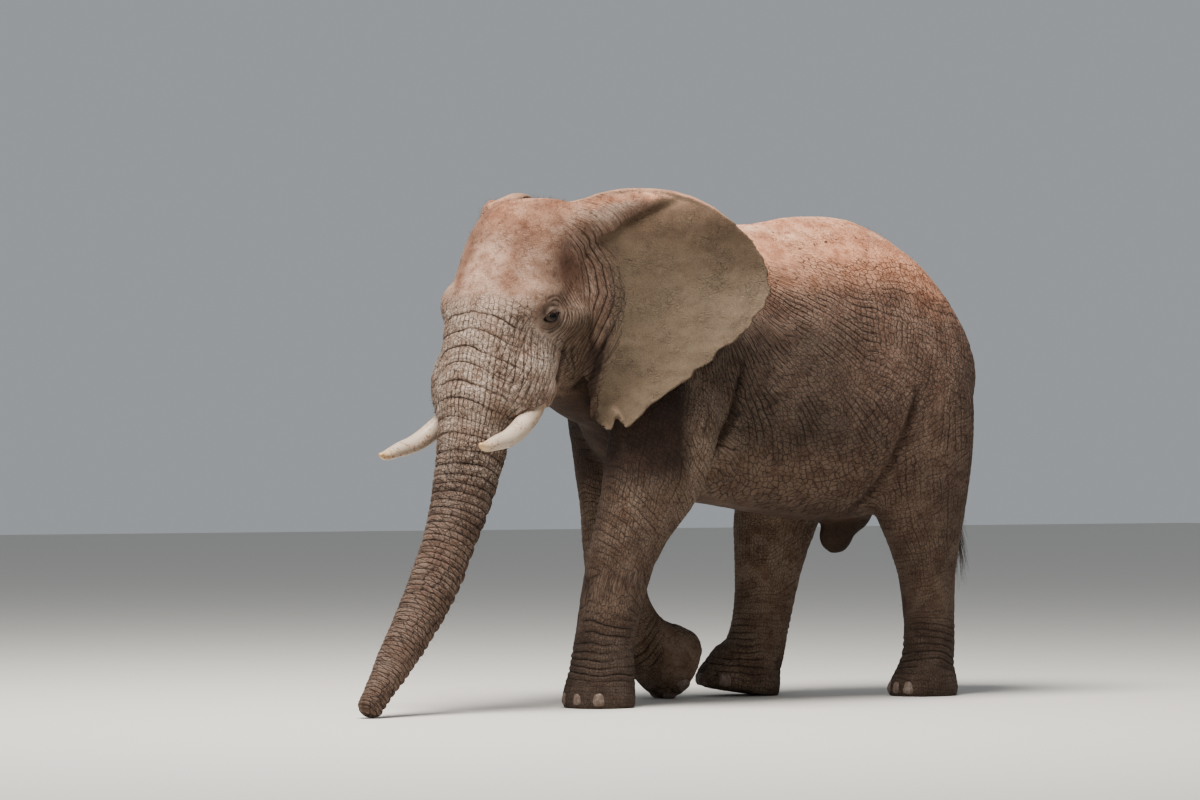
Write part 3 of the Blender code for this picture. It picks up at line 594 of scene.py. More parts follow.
def ear_swell(side):
    """The root's roll, tapering out along the upper ear just under its hem."""
    hinge = head_point(side * EAR_ROOT, 0.0, 0.0)
    rings = []
    for out, height, off, radius in eased(EAR_SWELL, EAR_SWELL_RINGS):
        outward, ahead = ear_directions(side, height)
        middle = hinge + outward * out + ahead * off + Vector((0, 0, height))
        rings.append(round_ring(middle, Vector((0, 0, 1)), ahead, radius, EAR_ROLL_POINTS))
    return loft(rings)


# ---------------------------------------------------------------- one skin
def joined(meshes):
    """One mesh of several."""
    bm = bmesh.new()
    for mesh in meshes:
        bm.from_mesh(mesh)
    return mesh_of(bm, "joined")


def fused(meshes, voxel, passes, finer=0):
    """Closed skin round overlapping forms, smoothed, and made finer if asked."""
    obj = place("fused", joined(meshes))
    fuse = obj.modifiers.new("Fuse", "REMESH")
    fuse.mode = "VOXEL"
    fuse.voxel_size = voxel
    soften = obj.modifiers.new("Soften", "SMOOTH")
    soften.factor = 0.5
    soften.iterations = passes
    if finer:
        finish = obj.modifiers.new("Finer", "SUBSURF")
        finish.levels = finer
        finish.render_levels = finer
    mesh = evaluated_mesh(obj)
    bpy.data.objects.remove(obj, do_unlink=True)
    return mesh


def refined(mesh, centre, reach, times):
    """Splits the faces within reach of a point, for finer modelling there."""
    bm = bmesh.new()
    bm.from_mesh(mesh)
    for _ in range(times):
        near = [e for e in bm.edges if (e.verts[0].co - centre).length < reach]
        bmesh.ops.subdivide_edges(bm, edges=near, cuts=1, use_grid_fill=True, smooth=0.0)
        reach *= 0.62
    bm.to_mesh(mesh)
    bm.free()
    return mesh


# ---------------------------------------------------------------- number work
def smooth(low, high, values):
    """0 below low, 1 above high, eased between; low may be the greater."""
    t = np.clip((values - low) / (high - low), 0.0, 1.0)
    return t * t * (3 - 2 * t)


def lattice(ix, iy, iz, seed):
    """Repeatable random number from 0 to 1 for each whole-numbered corner."""
    h = (ix * 73856093) ^ (iy * 19349663) ^ (iz * 83492791) ^ (seed * 668265263)
    h &= 0xFFFFFFFF
    h = ((h ^ (h >> 13)) * 1274126177) & 0xFFFFFFFF
    return ((h ^ (h >> 16)) & 0xFFFF) / 65535.0


def waves(points, size, seed):
    """Soft random swell from -1 to 1 whose features are about size across."""
    scaled = points / size + 1000.0
    low = np.floor(scaled).astype(np.int64)
    part = scaled - low
    part = part * part * (3 - 2 * part)
    total = np.zeros(len(points))
    for dx in (0, 1):
        for dy in (0, 1):
            for dz in (0, 1):
                share = np.ones(len(points))
                for axis, step in enumerate((dx, dy, dz)):
                    share = share * (part[:, axis] if step else 1 - part[:, axis])
                corner = lattice(low[:, 0] + dx, low[:, 1] + dy, low[:, 2] + dz, seed)
                total += share * corner
    return total * 2 - 1


def rough(points, size, seed):
    """Swell with two finer layers on it."""
    total = waves(points, size, seed)
    total += 0.5 * waves(points, size / 2.1, seed + 1)
    total += 0.25 * waves(points, size / 4.3, seed + 2)
    return total / 1.4


def groove(lines, power):
    """1 along each whole number of lines and 0 between: greater powers cut narrower."""
    return np.abs(2 * (lines - np.floor(lines)) - 1) ** power


CELL_JITTER = 0.38  # how far a cell's middle may stray, in cells


def cells(a, b, seed):
    """Closeness, 1 at the border and 0 well inside, of uneven cells one unit across in a, b."""
    row, column = np.floor(a).astype(np.int64), np.floor(b).astype(np.int64)
    none = np.zeros_like(row)
    first, second = np.full(len(a), 9.0), np.full(len(a), 9.0)
    for step in (-1, 0, 1):
        for sideways in (-1, 0, 1):
            i, j = row + step, column + sideways
            pa = i + 0.5 + CELL_JITTER * (2 * lattice(i, j, none, seed) - 1)
            pb = j + 0.5 + CELL_JITTER * (2 * lattice(i, j, none + 1, seed) - 1)
            away = np.hypot(a - pa, b - pb)
            second = np.minimum(second, np.maximum(first, away))
            first = np.minimum(first, away)
    return smooth(0.34, 0.02, second - first)


def to_path(y, z, path):
    """Distance to a path in the side view, its sign (positive behind it) and run along it."""
    best = np.full(len(y), 1e9)
    signed = np.zeros(len(y))
    run = np.zeros(len(y))
    total = 0.0
    for (ya, za), (yb, zb) in zip(path, path[1:]):
        dy, dz = yb - ya, zb - za
        length = math.hypot(dy, dz)
        t = np.clip(((y - ya) * dy + (z - za) * dz) / length**2, 0, 1)
        oy, oz = y - ya - t * dy, z - za - t * dz
        away = np.hypot(oy, oz)
        closer = away < best
        best = np.where(closer, away, best)
        signed = np.where(closer, np.sign(dy * oz - dz * oy) * away, signed)
        run = np.where(closer, total + t * length, run)
        total += length
    return best, signed, run / total


# ---------------------------------------------------------------- where things are on the skin
FLAT_PATH_COUNT = 241  # points along a tube's middle line
LEG_ROWS = 40  # sections read along a leg
FACE_PATH_START = (-0.44, 2.62, 0.27, 0.25)  # the trunk's own line carried up the face
RING_SPACING_AT = (0.2, 1.15, 1.35, 1.65, 2.2, 2.9)  # metres down from the brow
RING_SPACING = (0.115, 0.100, 0.058, 0.045, 0.032, 0.024)
BLOCK_SPACING = (0.042, 0.038, 0.032, 0.026, 0.021, 0.018)  # of the finer rings between
TRUNK_LINES = 50  # lengthwise creases round the trunk
RING_SAG = 0.42  # how much lower the rings sit at the side of the face
FAN_CENTRE = (-0.97, 2.85)  # the long flank folds spread from the withers
FAN_LINES = 30.0  # to a radian
HIP_CENTRE = (-0.23, 2.39)  # the crossing folds curve round here
HIP_SPACING = 0.042
CHEEK_SPACING = 0.034  # of the slanting creases under the eye
ARC_SPACING = 0.027  # of the arcs behind it
EAR_LINE_SPACING = 0.036  # of the long folds before the ear
FOLD_ROWS = {
    "foreleg_left": (FORELEG_LEFT, 2.05),
    "foreleg_right": (FORELEG_RIGHT, 2.05),
    "hindleg_left": (HINDLEG_LEFT, 2.15),
    "hindleg_right": (HINDLEG_RIGHT + HEEL_RIGHT[1:], 2.15),
}
LIMB_LINES = 44  # upright creases round a leg
LIMB_SPACING = 0.042
HAND_SPACING = 0.045  # of the bent forefoot's rings
HAND_LINES = 6.4  # upright creases to a radian of it
# A leg's folds by height: slant of its rings in degrees, their depth, the upright creases' depth
LIMB_CURVES = {
    "fore": (
        ((0.35, 0.5, 0.8, 1.2, 1.8), (0, 10, 40, 38, 37)),
        ((0.10, 0.20, 0.50, 0.65, 1.2, 1.8), (0.3, 1.0, 0.9, 0.6, 0.6, 0.8)),
        ((0.15, 0.4, 0.9, 1.3, 1.8), (0.35, 0.3, 0.45, 0.6, 0.6)),
    ),
    "hind": (
        ((0.2, 0.45, 0.7, 1.0), (8, 5, -18, -25)),
        ((0.08, 0.15, 0.40, 0.55, 1.0, 1.6), (0.3, 1.0, 0.9, 0.35, 0.5, 0.55)),
        ((0.15, 0.5, 0.9, 1.2, 1.8), (0.35, 0.35, 0.6, 0.9, 0.9)),
    ),
}
# Depths of the folds in metres, where they are deepest
RING_DEPTH_AT = (0.2, 0.9, 1.3, 1.7, 2.9)  # metres down from the brow
RING_DEPTH = (0.0045, 0.0055, 0.0080, 0.0070, 0.0050)
TRUNK_LINE_DEPTH = 0.0060
ARC_DEPTH = 0.0050
EAR_LINE_DEPTH = 0.0070
LIMB_RING_DEPTH = 0.0040
WRIST_RING_DEPTH = 0.005  # more, round the wrist
LIMB_LINE_DEPTH = 0.0030
LIMB_BLOCK_DEPTH = 0.0022
FAN_DEPTH = 0.0055
SHOULDER_FAN_DEPTH = 0.0040  # more, behind the ear
FINE_FAN_DEPTH = 0.0025
HIP_DEPTH = 0.0035
BARREL_BLOCK_DEPTH = 0.0020
# The fold before the ear, in the head's side view, from above to below
EAR_LINE = [
    (-0.15, 2.93), (0.03, 2.78), (0.10, 2.63), (0.118, 2.43), (0.08, 2.28), (0.03, 2.13),
    (-0.02, 1.98),
]
EYE_RADIUS = 0.054
EYE_AT = (-0.41, 2.295)  # its place in the head's side view


def array_of(mesh, what):
    """The mesh's places or normals as rows of three numbers."""
    values = np.empty(len(mesh.vertices) * 3, np.float32)
    mesh.vertices.foreach_get(what, values)
    return values.reshape(-1, 3).astype(float)


def in_head(points):
    """The same places in the head's own directions."""
    turned = np.array(head_matrix().inverted())
    return points @ turned[:3, :3].T + turned[:3, 3]


def along_tube(points, rows, x=0.0):
    """For points near a tube in the YZ plane: run, angle from its front, radius share."""
    path = np.array(eased(rows, FLAT_PATH_COUNT))
    steps = np.hypot(np.diff(path[:, 0]), np.diff(path[:, 1]))
    runs = np.concatenate([[0], np.cumsum(steps)])
    ahead = np.gradient(path[:, :2], axis=0)
    ahead /= np.linalg.norm(ahead, axis=1)[:, None]
    nearest = np.empty(len(points), int)
    for start in range(0, len(points), 20000):
        part = points[start : start + 20000]
        gaps = (part[:, 1, None] - path[:, 0]) ** 2 + (part[:, 2, None] - path[:, 1]) ** 2
        nearest[start : start + 20000] = gaps.argmin(1)
    offset = points[:, 1:] - path[nearest, :2]
    way = ahead[nearest]
    run = runs[nearest] + (offset * way).sum(1)
    deep = (offset[:, 0] * way[:, 1] - offset[:, 1] * way[:, 0]) / path[nearest, 3]
    across = (points[:, 0] - x) / path[nearest, 2]
    return run, np.arctan2(across, deep), np.hypot(across, deep)


def on_leg(points, rows, top):
    """Share of a leg's skin that each point is, with angle from its front and its own y."""
    table = np.array(sorted(eased(rows, LEG_ROWS)))
    z = points[:, 2]
    x, y, side, front, back = (np.interp(z, table[:, 0], table[:, k]) for k in range(1, 6))
    dx = (points[:, 0] - x) / side
    dy = points[:, 1] - y
    dy = dy / np.where(dy > 0, back, front)
    radius = np.hypot(dx, dy)
    share = (1 - smooth(1.25, 1.7, radius)) * (1 - smooth(top - 0.55, top, z))
    return share, np.arctan2(dx * np.sign(x.mean()), -dy), points[:, 1] - y


def on_ears(points):
    """For each point: how much ear it is, how far across the sheet, which face, which row."""
    spots = []
    for side in (1, -1):
        for i, row in enumerate(ear_sheet(side)):
            for middle, ahead, _, across in row:
                spots.append((middle, ahead, across, i / EAR_ROWS))
    tree = KDTree(len(spots))
    for i, spot in enumerate(spots):
        tree.insert(spot[0], i)
    tree.balance()
    near = (np.abs(points[:, 0]) > 0.25) & (points[:, 2] > 1.6) & (points[:, 1] < 0.2)
    found = np.zeros((len(points), 4))
    for i in np.nonzero(near)[0]:
        _, index, away = tree.find(points[i])
        middle, ahead, across, row = spots[index]
        front = 1.0 if (Vector(points[i]) - middle).dot(ahead) > 0 else -1.0
        found[i] = (away, across, front, row)
    away = np.where(near, found[:, 0], 1.0)
    ear = (1 - smooth(0.035, 0.060, away)) * smooth(0.10, 0.24, found[:, 1])
    return ear, found[:, 1], found[:, 2], found[:, 3]


# ---------------------------------------------------------------- bone and muscle under the skin
# centre, reach, height: both sides of the body alike
BODY_SHAPING = [
    ((0.50, -0.72, 2.35), (0.40, 0.16, 0.42), 0.018),  # shoulder blade
    ((0.62, -0.40, 1.95), (0.40, 0.14, 0.45), -0.022),  # hollow behind the shoulder
    ((0.42, 0.84, 2.60), (0.22, 0.20, 0.16), 0.020),  # hip
    ((0.62, 0.36, 2.10), (0.30, 0.22, 0.26), -0.018),  # flank hollow
    ((0.00, 0.30, 2.95), (0.07, 0.90, 0.20), 0.010),  # spine
    ((0.20, 1.22, 2.45), (0.18, 0.18, 0.18), 0.012),  # rump beside the tail
]
# the same in the head's own directions
HEAD_SHAPING = [
    ((0.36, -0.17, 2.56), (0.25, 0.16, 0.20), -0.018),  # temple hollow
    ((0.37, -0.38, 2.44), (0.12, 0.10, 0.060), 0.014),  # brow ridge over the eye
    ((0.38, -0.16, 2.33), (0.20, 0.13, 0.10), 0.022),  # cheekbone
    ((0.36, -0.20, 2.10), (0.20, 0.08, 0.12), -0.012),  # hollow behind the sheath
    ((0.36, -0.42, 2.02), (0.12, 0.10, 0.16), 0.022),  # tusk sheath, up to the eye
    ((0.12, -0.50, 2.72), (0.06, 0.30, 0.22), -0.008),  # beside the forehead's middle
    ((0.00, -0.72, 2.42), (0.30, 0.20, 0.20), 0.008),  # swell above the trunk's root
    ((0.31, -0.44, 1.84), (0.10, 0.12, 0.05), 0.008),  # rim of the tusk's sheath
]
# creases in the side view, on both sides: path of (y, z), width, depth
BODY_CREASES = [
    ([(-0.60, 2.02), (-0.63, 1.89), (-0.67, 1.71), (-0.75, 1.52), (-0.82, 1.35)], 0.022, 0.042),
    ([(0.40, 1.12), (0.47, 1.30), (0.54, 1.50), (0.62, 1.70), (0.69, 1.88)], 0.026, 0.026),
]
HEAD_CREASES = [
    ([(-0.22, 2.16), (-0.27, 2.02), (-0.30, 1.90), (-0.38, 1.79)], 0.016, 0.022),
    ([(-0.33, 2.20), (-0.36, 2.08), (-0.345, 1.97)], 0.010, 0.010),
    ([(-0.15, 2.15), (-0.165, 2.06), (-0.125, 1.96), (-0.20, 1.84)], 0.009, 0.012),
    ([(-0.04, 2.23), (-0.01, 2.12), (0.01, 1.99), (-0.06, 1.81)], 0.010, 0.012),
    ([(-0.24, 2.12), (-0.20, 2.03), (-0.23, 1.95)], 0.008, 0.010),
    ([(-0.02, 1.78), (0.00, 1.95), (0.035, 2.13), (0.075, 2.27)], 0.016, 0.020),
]


def shaped(points, table):
    """Height of the bone and muscle under each point, alike on both sides."""
    total = np.zeros(len(points))
    mirrored = points.copy()
    mirrored[:, 0] = np.abs(points[:, 0])
    for centre, reach, height in table:
        away = (((mirrored - centre) / reach) ** 2).sum(1)
        total += height * np.exp(-away)
    return total


def creased(y, z, table):
    """Depth of the placed creases at each point, fading towards their ends."""
    total = np.zeros(len(y))
    for path, width, depth in table:
        away, _, run = to_path(y, z, path)
        ends = smooth(0.0, 0.15, run) * smooth(1.0, 0.85, run)
        total += depth * np.exp(-((away / width) ** 2)) * (0.25 + 0.75 * ends)
    return total


# ---------------------------------------------------------------- folds of the hide
def regions(co, h):
    """Where each point of the skin lies, and the slow random shifts its folds follow."""
    x, _, z = co.T
    hx, hy, hz = h.T
    ear, across, face_way, row = on_ears(co)
    bare = 1 - ear
    wide = smooth(0.75, 0.55, np.abs(hx))
    head = smooth(0.30, 0.05, hy) * smooth(1.45, 1.65, hz) * wide * bare
    run, turn, share = np.zeros(len(co)), np.zeros(len(co)), np.full(len(co), 9.0)
    near = (hy < -0.25) & (hz < 2.66) & (np.abs(hx) < 0.46)
    run[near], turn[near], share[near] = along_tube(h[near], [FACE_PATH_START] + TRUNK)
    eye_away = np.hypot(hy - EYE_AT[0], hz - EYE_AT[1])
    beside_eye = smooth(0.20, 0.10, eye_away) * smooth(0.20, 0.28, np.abs(hx))
    face = smooth(0.20, 0.42, run) * smooth(1.75, 1.40, share) * bare * near
    face *= 1 - beside_eye
    return {
        "side": np.where(x > 0, 1.0, -1.0),
        "ear": ear, "ear_across": across, "ear_face": face_way, "ear_row": row,
        "bare": bare, "head": head, "face": face, "run": run, "turn": turn,
        "trunk": smooth(0.75, 0.95, run) * smooth(1.5, 1.25, share) * near,
        "eye_away": eye_away,
        "top": smooth(2.62, 2.86, z),
        "warp": 0.60 * waves(co, 0.24, 1) + 0.35 * waves(co, 0.10, 2),
        "cross_warp": 0.60 * waves(co, 0.21, 3) + 0.35 * waves(co, 0.09, 4),
        "broken": 0.20 + 0.80 * smooth(-0.45, 0.25, waves(co, 0.15, 5)),
        "cross_broken": 0.15 + 0.85 * smooth(-0.25, 0.35, waves(co, 0.13, 6)),
    }


def counted(run, places, spacing):
    """How many folds lie above each run, for a spacing that changes along the way."""
    spots = np.linspace(0, 3.2, 641)
    steps = np.diff(spots) / np.interp(spots[1:], places, spacing)
    return np.interp(run, spots, np.concatenate([[0], np.cumsum(steps)]))


def trunk_folds(h, at):
    """Rings sagging at the sides, with lengthwise creases that part them into blocks."""
    run, turn, face, warp = at["run"], at["turn"], at["face"], at["warp"]
    sag = np.sqrt(h[:, 0] ** 2 + 0.10**2) - 0.10
    level = run - RING_SAG * smooth(1.35, 0.75, run) * sag
    rings = counted(level, RING_SPACING_AT, RING_SPACING) + 0.30 * warp
    small = counted(level, RING_SPACING_AT, BLOCK_SPACING) + 0.45 * warp
    lengths = turn * TRUNK_LINES / (2 * math.pi) + 0.55 * at["cross_warp"]
    behind = smooth(1.9, 2.6, np.abs(turn))
    ring_deep = face * (1 - 0.45 * behind)
    ring_deep *= 1 - 0.60 * smooth(0.75, 1.5, np.abs(turn)) * smooth(1.35, 1.05, run)
    upper = smooth(1.75, 1.15, run)
    length_deep = face * upper * (0.50 + 0.50 * at["cross_broken"])
    ring_deep *= 0.55 + 0.45 * np.maximum(at["broken"], smooth(1.0, 1.5, run))
    tall = np.interp(run, RING_DEPTH_AT, RING_DEPTH)
    blocks = cells(small, lengths * 0.85, 31)
    cut = tall * ring_deep * np.maximum(groove(rings, 3.0), 0.5 * groove(rings + 0.2, 5.0))
    cut += TRUNK_LINE_DEPTH * length_deep * groove(lengths, 2.4)
    cut += face * (0.0008 + 0.0052 * upper) * blocks
    knobs = at["trunk"] * smooth(1.1, 1.5, run) * np.exp(-(((np.abs(turn) - 2.25) / 0.35) ** 2))
    lift = 0.013 * knobs * (1 - groove(rings * 0.5, 1.0))
    return (rings, lengths, ring_deep, length_deep), cut, lift


def face_folds(h, at):
    """Arcs behind the eye, slanting creases under it, and long folds before the ear."""
    hx, hy, hz = h.T
    away = at["eye_away"]
    angle = np.degrees(np.arctan2(hz - EYE_AT[1], hy - EYE_AT[0]))
    cheek = at["head"] * (1 - at["face"]) * smooth(0.17, 0.26, np.abs(hx))
    arcs = away / ARC_SPACING + 0.35 * at["warp"]
    rear = smooth(-72, -56, angle) * smooth(62, 40, angle)
    far_arc = 0.40 + 0.22 * smooth(-15, -40, angle)
    arc_deep = cheek * rear * smooth(0.10, 0.13, away) * smooth(far_arc, far_arc - 0.14, away)
    slant = (0.88 * hy - 0.47 * hz) / CHEEK_SPACING + 0.45 * at["warp"]
    under = smooth(-66, -80, angle) * smooth(0.12, 0.17, away) * smooth(0.62, 0.48, away)
    _, before, way = to_path(hy, hz, EAR_LINE)
    ear_lines = before / EAR_LINE_SPACING + 0.30 * at["cross_warp"]
    lead = smooth(0.26, 0.12, np.abs(before)) * smooth(0.0, 0.20, way) * smooth(1.0, 0.9, way)
    lead = lead * (1 - 0.8 * smooth(0.36, 0.45, np.abs(hx)) * smooth(2.72, 2.84, hz))
    line_deep = cheek * lead * (1 - 0.8 * arc_deep)
    under_deep = 0.75 * at["head"] * under * smooth(0.17, 0.26, np.abs(hx))
    low_front = angle < -70
    arcs = np.where(low_front, slant, arcs)
    arc_deep = np.where(low_front, under_deep, arc_deep)
    cut = ARC_DEPTH * arc_deep * groove(arcs, 2.2)
    cut = cut + EAR_LINE_DEPTH * line_deep * groove(ear_lines, 2.4)
    return (arcs, ear_lines, arc_deep, line_deep), cut, 0.0


def limb_folds(co, at):
    """Rings and upright creases of the legs; the rings slant on the forelegs."""
    x, y, z = co.T
    count = len(co)
    limb, rings, lines, ring_deep, line_deep = (np.zeros(count) for _ in range(5))
    for name, (table, top) in FOLD_ROWS.items():
        part, angle, ahead = on_leg(co, table, top)
        part = part * (at["side"] == (1 if "left" in name else -1)) * (1 - at["head"]) * at["bare"]
        tilt, deep, upright = (np.interp(z, *curve) for curve in LIMB_CURVES[name[:4]])
        slope = np.radians(tilt)
        ring = (ahead * np.sin(slope) + z * np.cos(slope)) / LIMB_SPACING + 0.95 * at["warp"]
        line = angle * LIMB_LINES / (2 * math.pi) + 0.8 * at["cross_warp"]
        chosen = part > limb
        limb = np.where(chosen, part, limb)
        rings = np.where(chosen, ring, rings)
        lines = np.where(chosen, line, lines)
        ring_deep = np.where(chosen, part * deep, ring_deep)
        line_deep = np.where(chosen, part * upright, line_deep)
    near = (z < 0.80) & (y > -1.2) & (y < -0.2) & (x < 0)
    hand_run, hand_turn, hand_share = along_tube(co[near], HAND_RIGHT, HAND_RIGHT_X)
    hand = np.zeros(count)
    hand[near] = (1 - smooth(1.15, 1.4, hand_share)) * smooth(0.80, 0.66, z[near])
    bent = hand[near] > 0.3
    hand_rings = hand_run / HAND_SPACING + 0.8 * at["warp"][near]
    rings[near] = np.where(bent, hand_rings, rings[near])
    lines[near] = np.where(bent, hand_turn * HAND_LINES, lines[near])
    ring_deep = ring_deep * at["broken"]
    line_deep = line_deep * at["cross_broken"]
    wrist = smooth(0.62, 0.48, z) * smooth(0.10, 0.20, z) * np.maximum(limb, hand)
    blocks = cells(rings * 1.4, lines * 1.2, 32)
    cut = (LIMB_RING_DEPTH + WRIST_RING_DEPTH * wrist) * ring_deep * groove(rings, 2.6)
    cut += LIMB_LINE_DEPTH * line_deep * groove(lines, 2.4)
    cut += LIMB_BLOCK_DEPTH * np.maximum(limb, hand) * blocks
    at["limb"], at["hand"] = limb, hand
    return (rings, lines, ring_deep, line_deep), cut, 0.0


def barrel_folds(co, at):
    """A fan of long folds from the withers, and folds crossing it round the hip."""
    x, y, z = co.T
    barrel = (1 - at["limb"]) * (1 - at["head"]) * at["bare"]
    fan_away = np.hypot(y - FAN_CENTRE[0], FAN_CENTRE[1] - z)
    fan = np.arctan2(FAN_CENTRE[1] - z, y - FAN_CENTRE[0]) * FAN_LINES + 0.9 * at["warp"]
    hip_away = np.hypot(y - HIP_CENTRE[0], z - HIP_CENTRE[1])
    hips = hip_away / HIP_SPACING + 0.9 * at["cross_warp"]
    flank = smooth(0.12, 0.30, np.abs(x))
    upper = smooth(2.40, 2.72, z)
    fan_deep = barrel * flank * smooth(0.25, 0.5, fan_away) * (1 - 0.92 * upper) * at["broken"]
    fan_deep *= (1 - 0.60 * smooth(0.1, 1.0, y)) * (0.35 + 0.65 * smooth(1.35, 1.75, z))
    behind_ear = smooth(0.15, -0.25, y) * smooth(1.5, 1.8, z)
    hip_deep = barrel * flank * smooth(0.25, 0.55, hip_away) * at["cross_broken"]
    hip_deep *= (0.15 + 0.60 * smooth(-0.1, 0.7, y)) * (1 - 0.92 * upper)
    wide = np.clip(fan_away / (FAN_LINES * 0.040), 1.0, 3.0)
    blocks = cells(fan * 0.8, hips * 0.7, 33)
    cut = (FAN_DEPTH + SHOULDER_FAN_DEPTH * behind_ear) * fan_deep * groove(fan, 3.0)
    cut += FINE_FAN_DEPTH * fan_deep * smooth(1.3, 2.0, wide) * groove(fan * 2, 2.4)
    cut += HIP_DEPTH * hip_deep * groove(hips, 2.8)
    cut += BARREL_BLOCK_DEPTH * barrel * flank * (1 - 0.7 * upper) * blocks
    return (fan, hips, fan_deep, hip_deep), cut, 0.0


def sculpted(mesh):
    """Carves the folds and gives the skin the measures that its finish is made from."""
    co = array_of(mesh, "co")
    out = array_of(mesh, "normal")
    x, y, z = co.T
    h = in_head(co)
    hx, hy, hz = h.T
    at = regions(co, h)
    head, bare, ear = at["head"], at["bare"], at["ear"]

    lift = shaped(co, BODY_SHAPING) * (1 - head) * bare
    lift += shaped(h, HEAD_SHAPING) * head
    flat_side = smooth(0.15, 0.35, np.abs(x))
    cut = creased(y, z, BODY_CREASES) * flat_side * (1 - head) * bare
    cut += creased(hy, hz, HEAD_CREASES) * smooth(0.2, 0.3, np.abs(hx)) * head * bare
    measures = {}
    for name, (kept, carved, raised) in (
        ("trunk_folds", trunk_folds(h, at)),
        ("face_folds", face_folds(h, at)),
        ("limb_folds", limb_folds(co, at)),
        ("barrel_folds", barrel_folds(co, at)),
    ):
        measures[name] = kept
        cut += carved
        lift += raised
    lift += 0.004 * rough(co, 0.11, 7) * (1 - 0.8 * ear) + 0.0012 * rough(co, 0.035, 8)
    veins = smooth(0.70, 0.98, 1 - np.abs(rough(co, 0.16, 9)))
    lift += ear * (0.0020 * veins * (at["ear_face"] > 0) - 0.0006)

    co = co + out * (lift - cut)[:, None]
    lid_rims_and_fold_shade = np.zeros(len(co))
    for eye_side in (1, -1):
        co, rim = eyelids(co, eye_side)
        lid_rims_and_fold_shade = np.maximum(lid_rims_and_fold_shade, rim)
    co = tusk_collars(co, out)
    co[:, 2] = np.maximum(co[:, 2], 0.0)
    mesh.vertices.foreach_set("co", co.astype(np.float32).ravel())
    at.update(up=out[:, 2], cut=cut, eye=lid_rims_and_fold_shade)
    return co, h, measures, at


EYE_TURN = math.radians(20)  # how far ahead the eye looks from straight out


def eye_frame(side):
    """Middle of an eyeball, and the ways ahead, up and out that its lids are built on."""
    low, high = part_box("eye_left" if side > 0 else "eye_right")
    ahead = (head_point(0, -1, 0) - head_point(0, 0, 0)).normalized()
    outward = (head_point(side, 0, 0) - head_point(0, 0, 0)).normalized()
    facing = outward * math.cos(EYE_TURN) + ahead * math.sin(EYE_TURN)
    along = ahead * math.cos(EYE_TURN) - outward * math.sin(EYE_TURN)
    return (low + high) / 2 - STANDPOINT, along, Vector((0, 0, 1)), facing


LID_LENGTH = 1.14  # half the opening's length, in eyeball radii
LID_RISE = 0.62  # of the upper lid's arch, in the same
LID_FALL = 0.56  # and of the lower lid's
LID_TILT = -0.32  # slope of the opening
LID_THICK = 0.005
LID_BLEND = 0.012  # width over which the lids run out into the face
LID_RING_SQUASH = 0.86  # the folds round the eye are longer than they are high
EYE_SUNK = 0.016  # how far the skin between the lids lies behind the eyeball's front
# Folds round the eye: reach in eyeball radii, width and depth in metres, and the part of the
# round they take up, in degrees from ahead over the top: middle and spread
LID_FOLDS = (
    (1.12, 0.0030, 0.0040, 122, 40),
    (1.62, 0.0060, 0.0060, 128, 45),
    (2.05, 0.0070, 0.0050, 112, 50),
    (1.34, 0.0042, 0.0060, 262, 70),
    (1.66, 0.0060, 0.0085, 235, 62),
    (2.15, 0.0060, 0.0045, 230, 50),
    (2.10, 0.0060, 0.0050, 178, 30),
    (2.60, 0.0060, 0.0050, 172, 32),
)


def eyelids(co, side):
    """Domes the skin over the eyeball, opens it between the lids and rings it with folds."""
    centre, forward, up, outward = (np.array(v) for v in eye_frame(side))
    offset = co - centre
    u, v, w = offset @ forward, offset @ up, offset @ outward
    r = np.hypot(u, v)
    near = (r < 0.19) & (w > -0.09) & (w < 0.14)
    radius = EYE_RADIUS
    dome = np.sqrt(np.maximum((radius + LID_THICK) ** 2 - r**2, 0.0))
    raised = 0.5 * (w + dome + np.sqrt((w - dome) ** 2 + LID_BLEND**2)) - LID_BLEND * 0.25
    raised = w + (raised - w) * smooth(1.75 * radius, 1.15 * radius, r)
    half = LID_LENGTH * radius
    arch = np.clip(1 - (u / half) ** 2, -6.0, 1.0)
    level = v - LID_TILT * u
    inside = np.minimum(LID_RISE * radius * arch - level, level + LID_FALL * radius * arch)
    raised = raised + 0.0030 * np.exp(-(((inside + 0.0050) / 0.0040) ** 2))
    ring = np.hypot(u * LID_RING_SQUASH, level)
    turn = np.degrees(np.arctan2(level, u))
    folds = np.zeros(len(co))
    for reach, width, deep, middle, spread in LID_FOLDS:
        aside = np.abs((turn - middle + 180) % 360 - 180)
        ends = smooth(spread, 0.6 * spread, aside)
        folds += ends * deep * np.exp(-(((ring - reach * radius) / width) ** 2))
    raised = raised - folds
    behind = np.sqrt(np.maximum(radius**2 - r**2, 0.0)) - EYE_SUNK
    opened = smooth(-0.0010, 0.0026, inside)
    target = raised * (1 - opened) + behind * opened
    moved = co + np.where(near, target - w, 0.0)[:, None] * outward
    rim = np.where(near, smooth(-0.014, -0.002, inside), 0.0)
    # shaded is painted shade in the folds round the eye; it goes with the dark lid rims into the
    # hide's colour
    shaded = np.where(near, np.clip(folds / 0.009, 0, 1), 0.0)
    return moved, np.maximum(rim, 0.6 * shaded)


def tusk_line(side, count):
    """Stations along a tusk: its middle and radius."""
    stations = []
    for i, (x, y, z, share) in enumerate(eased(TUSK_LEFT, count)):
        drop = TUSK_RIGHT_DROP * i / count if side < 0 else 0.0
        stations.append((head_point(side * x, y, z - drop), TUSK_RADIUS * share))
    return stations


COLLAR_STATIONS = 25  # along the tusk, of which the first few lie in its sheath
COLLAR_LENGTH = 8
COLLAR_ROLL = 0.011  # height and width of the lip
COLLAR_TUCK = 0.006  # depth and width of the gap between lip and ivory


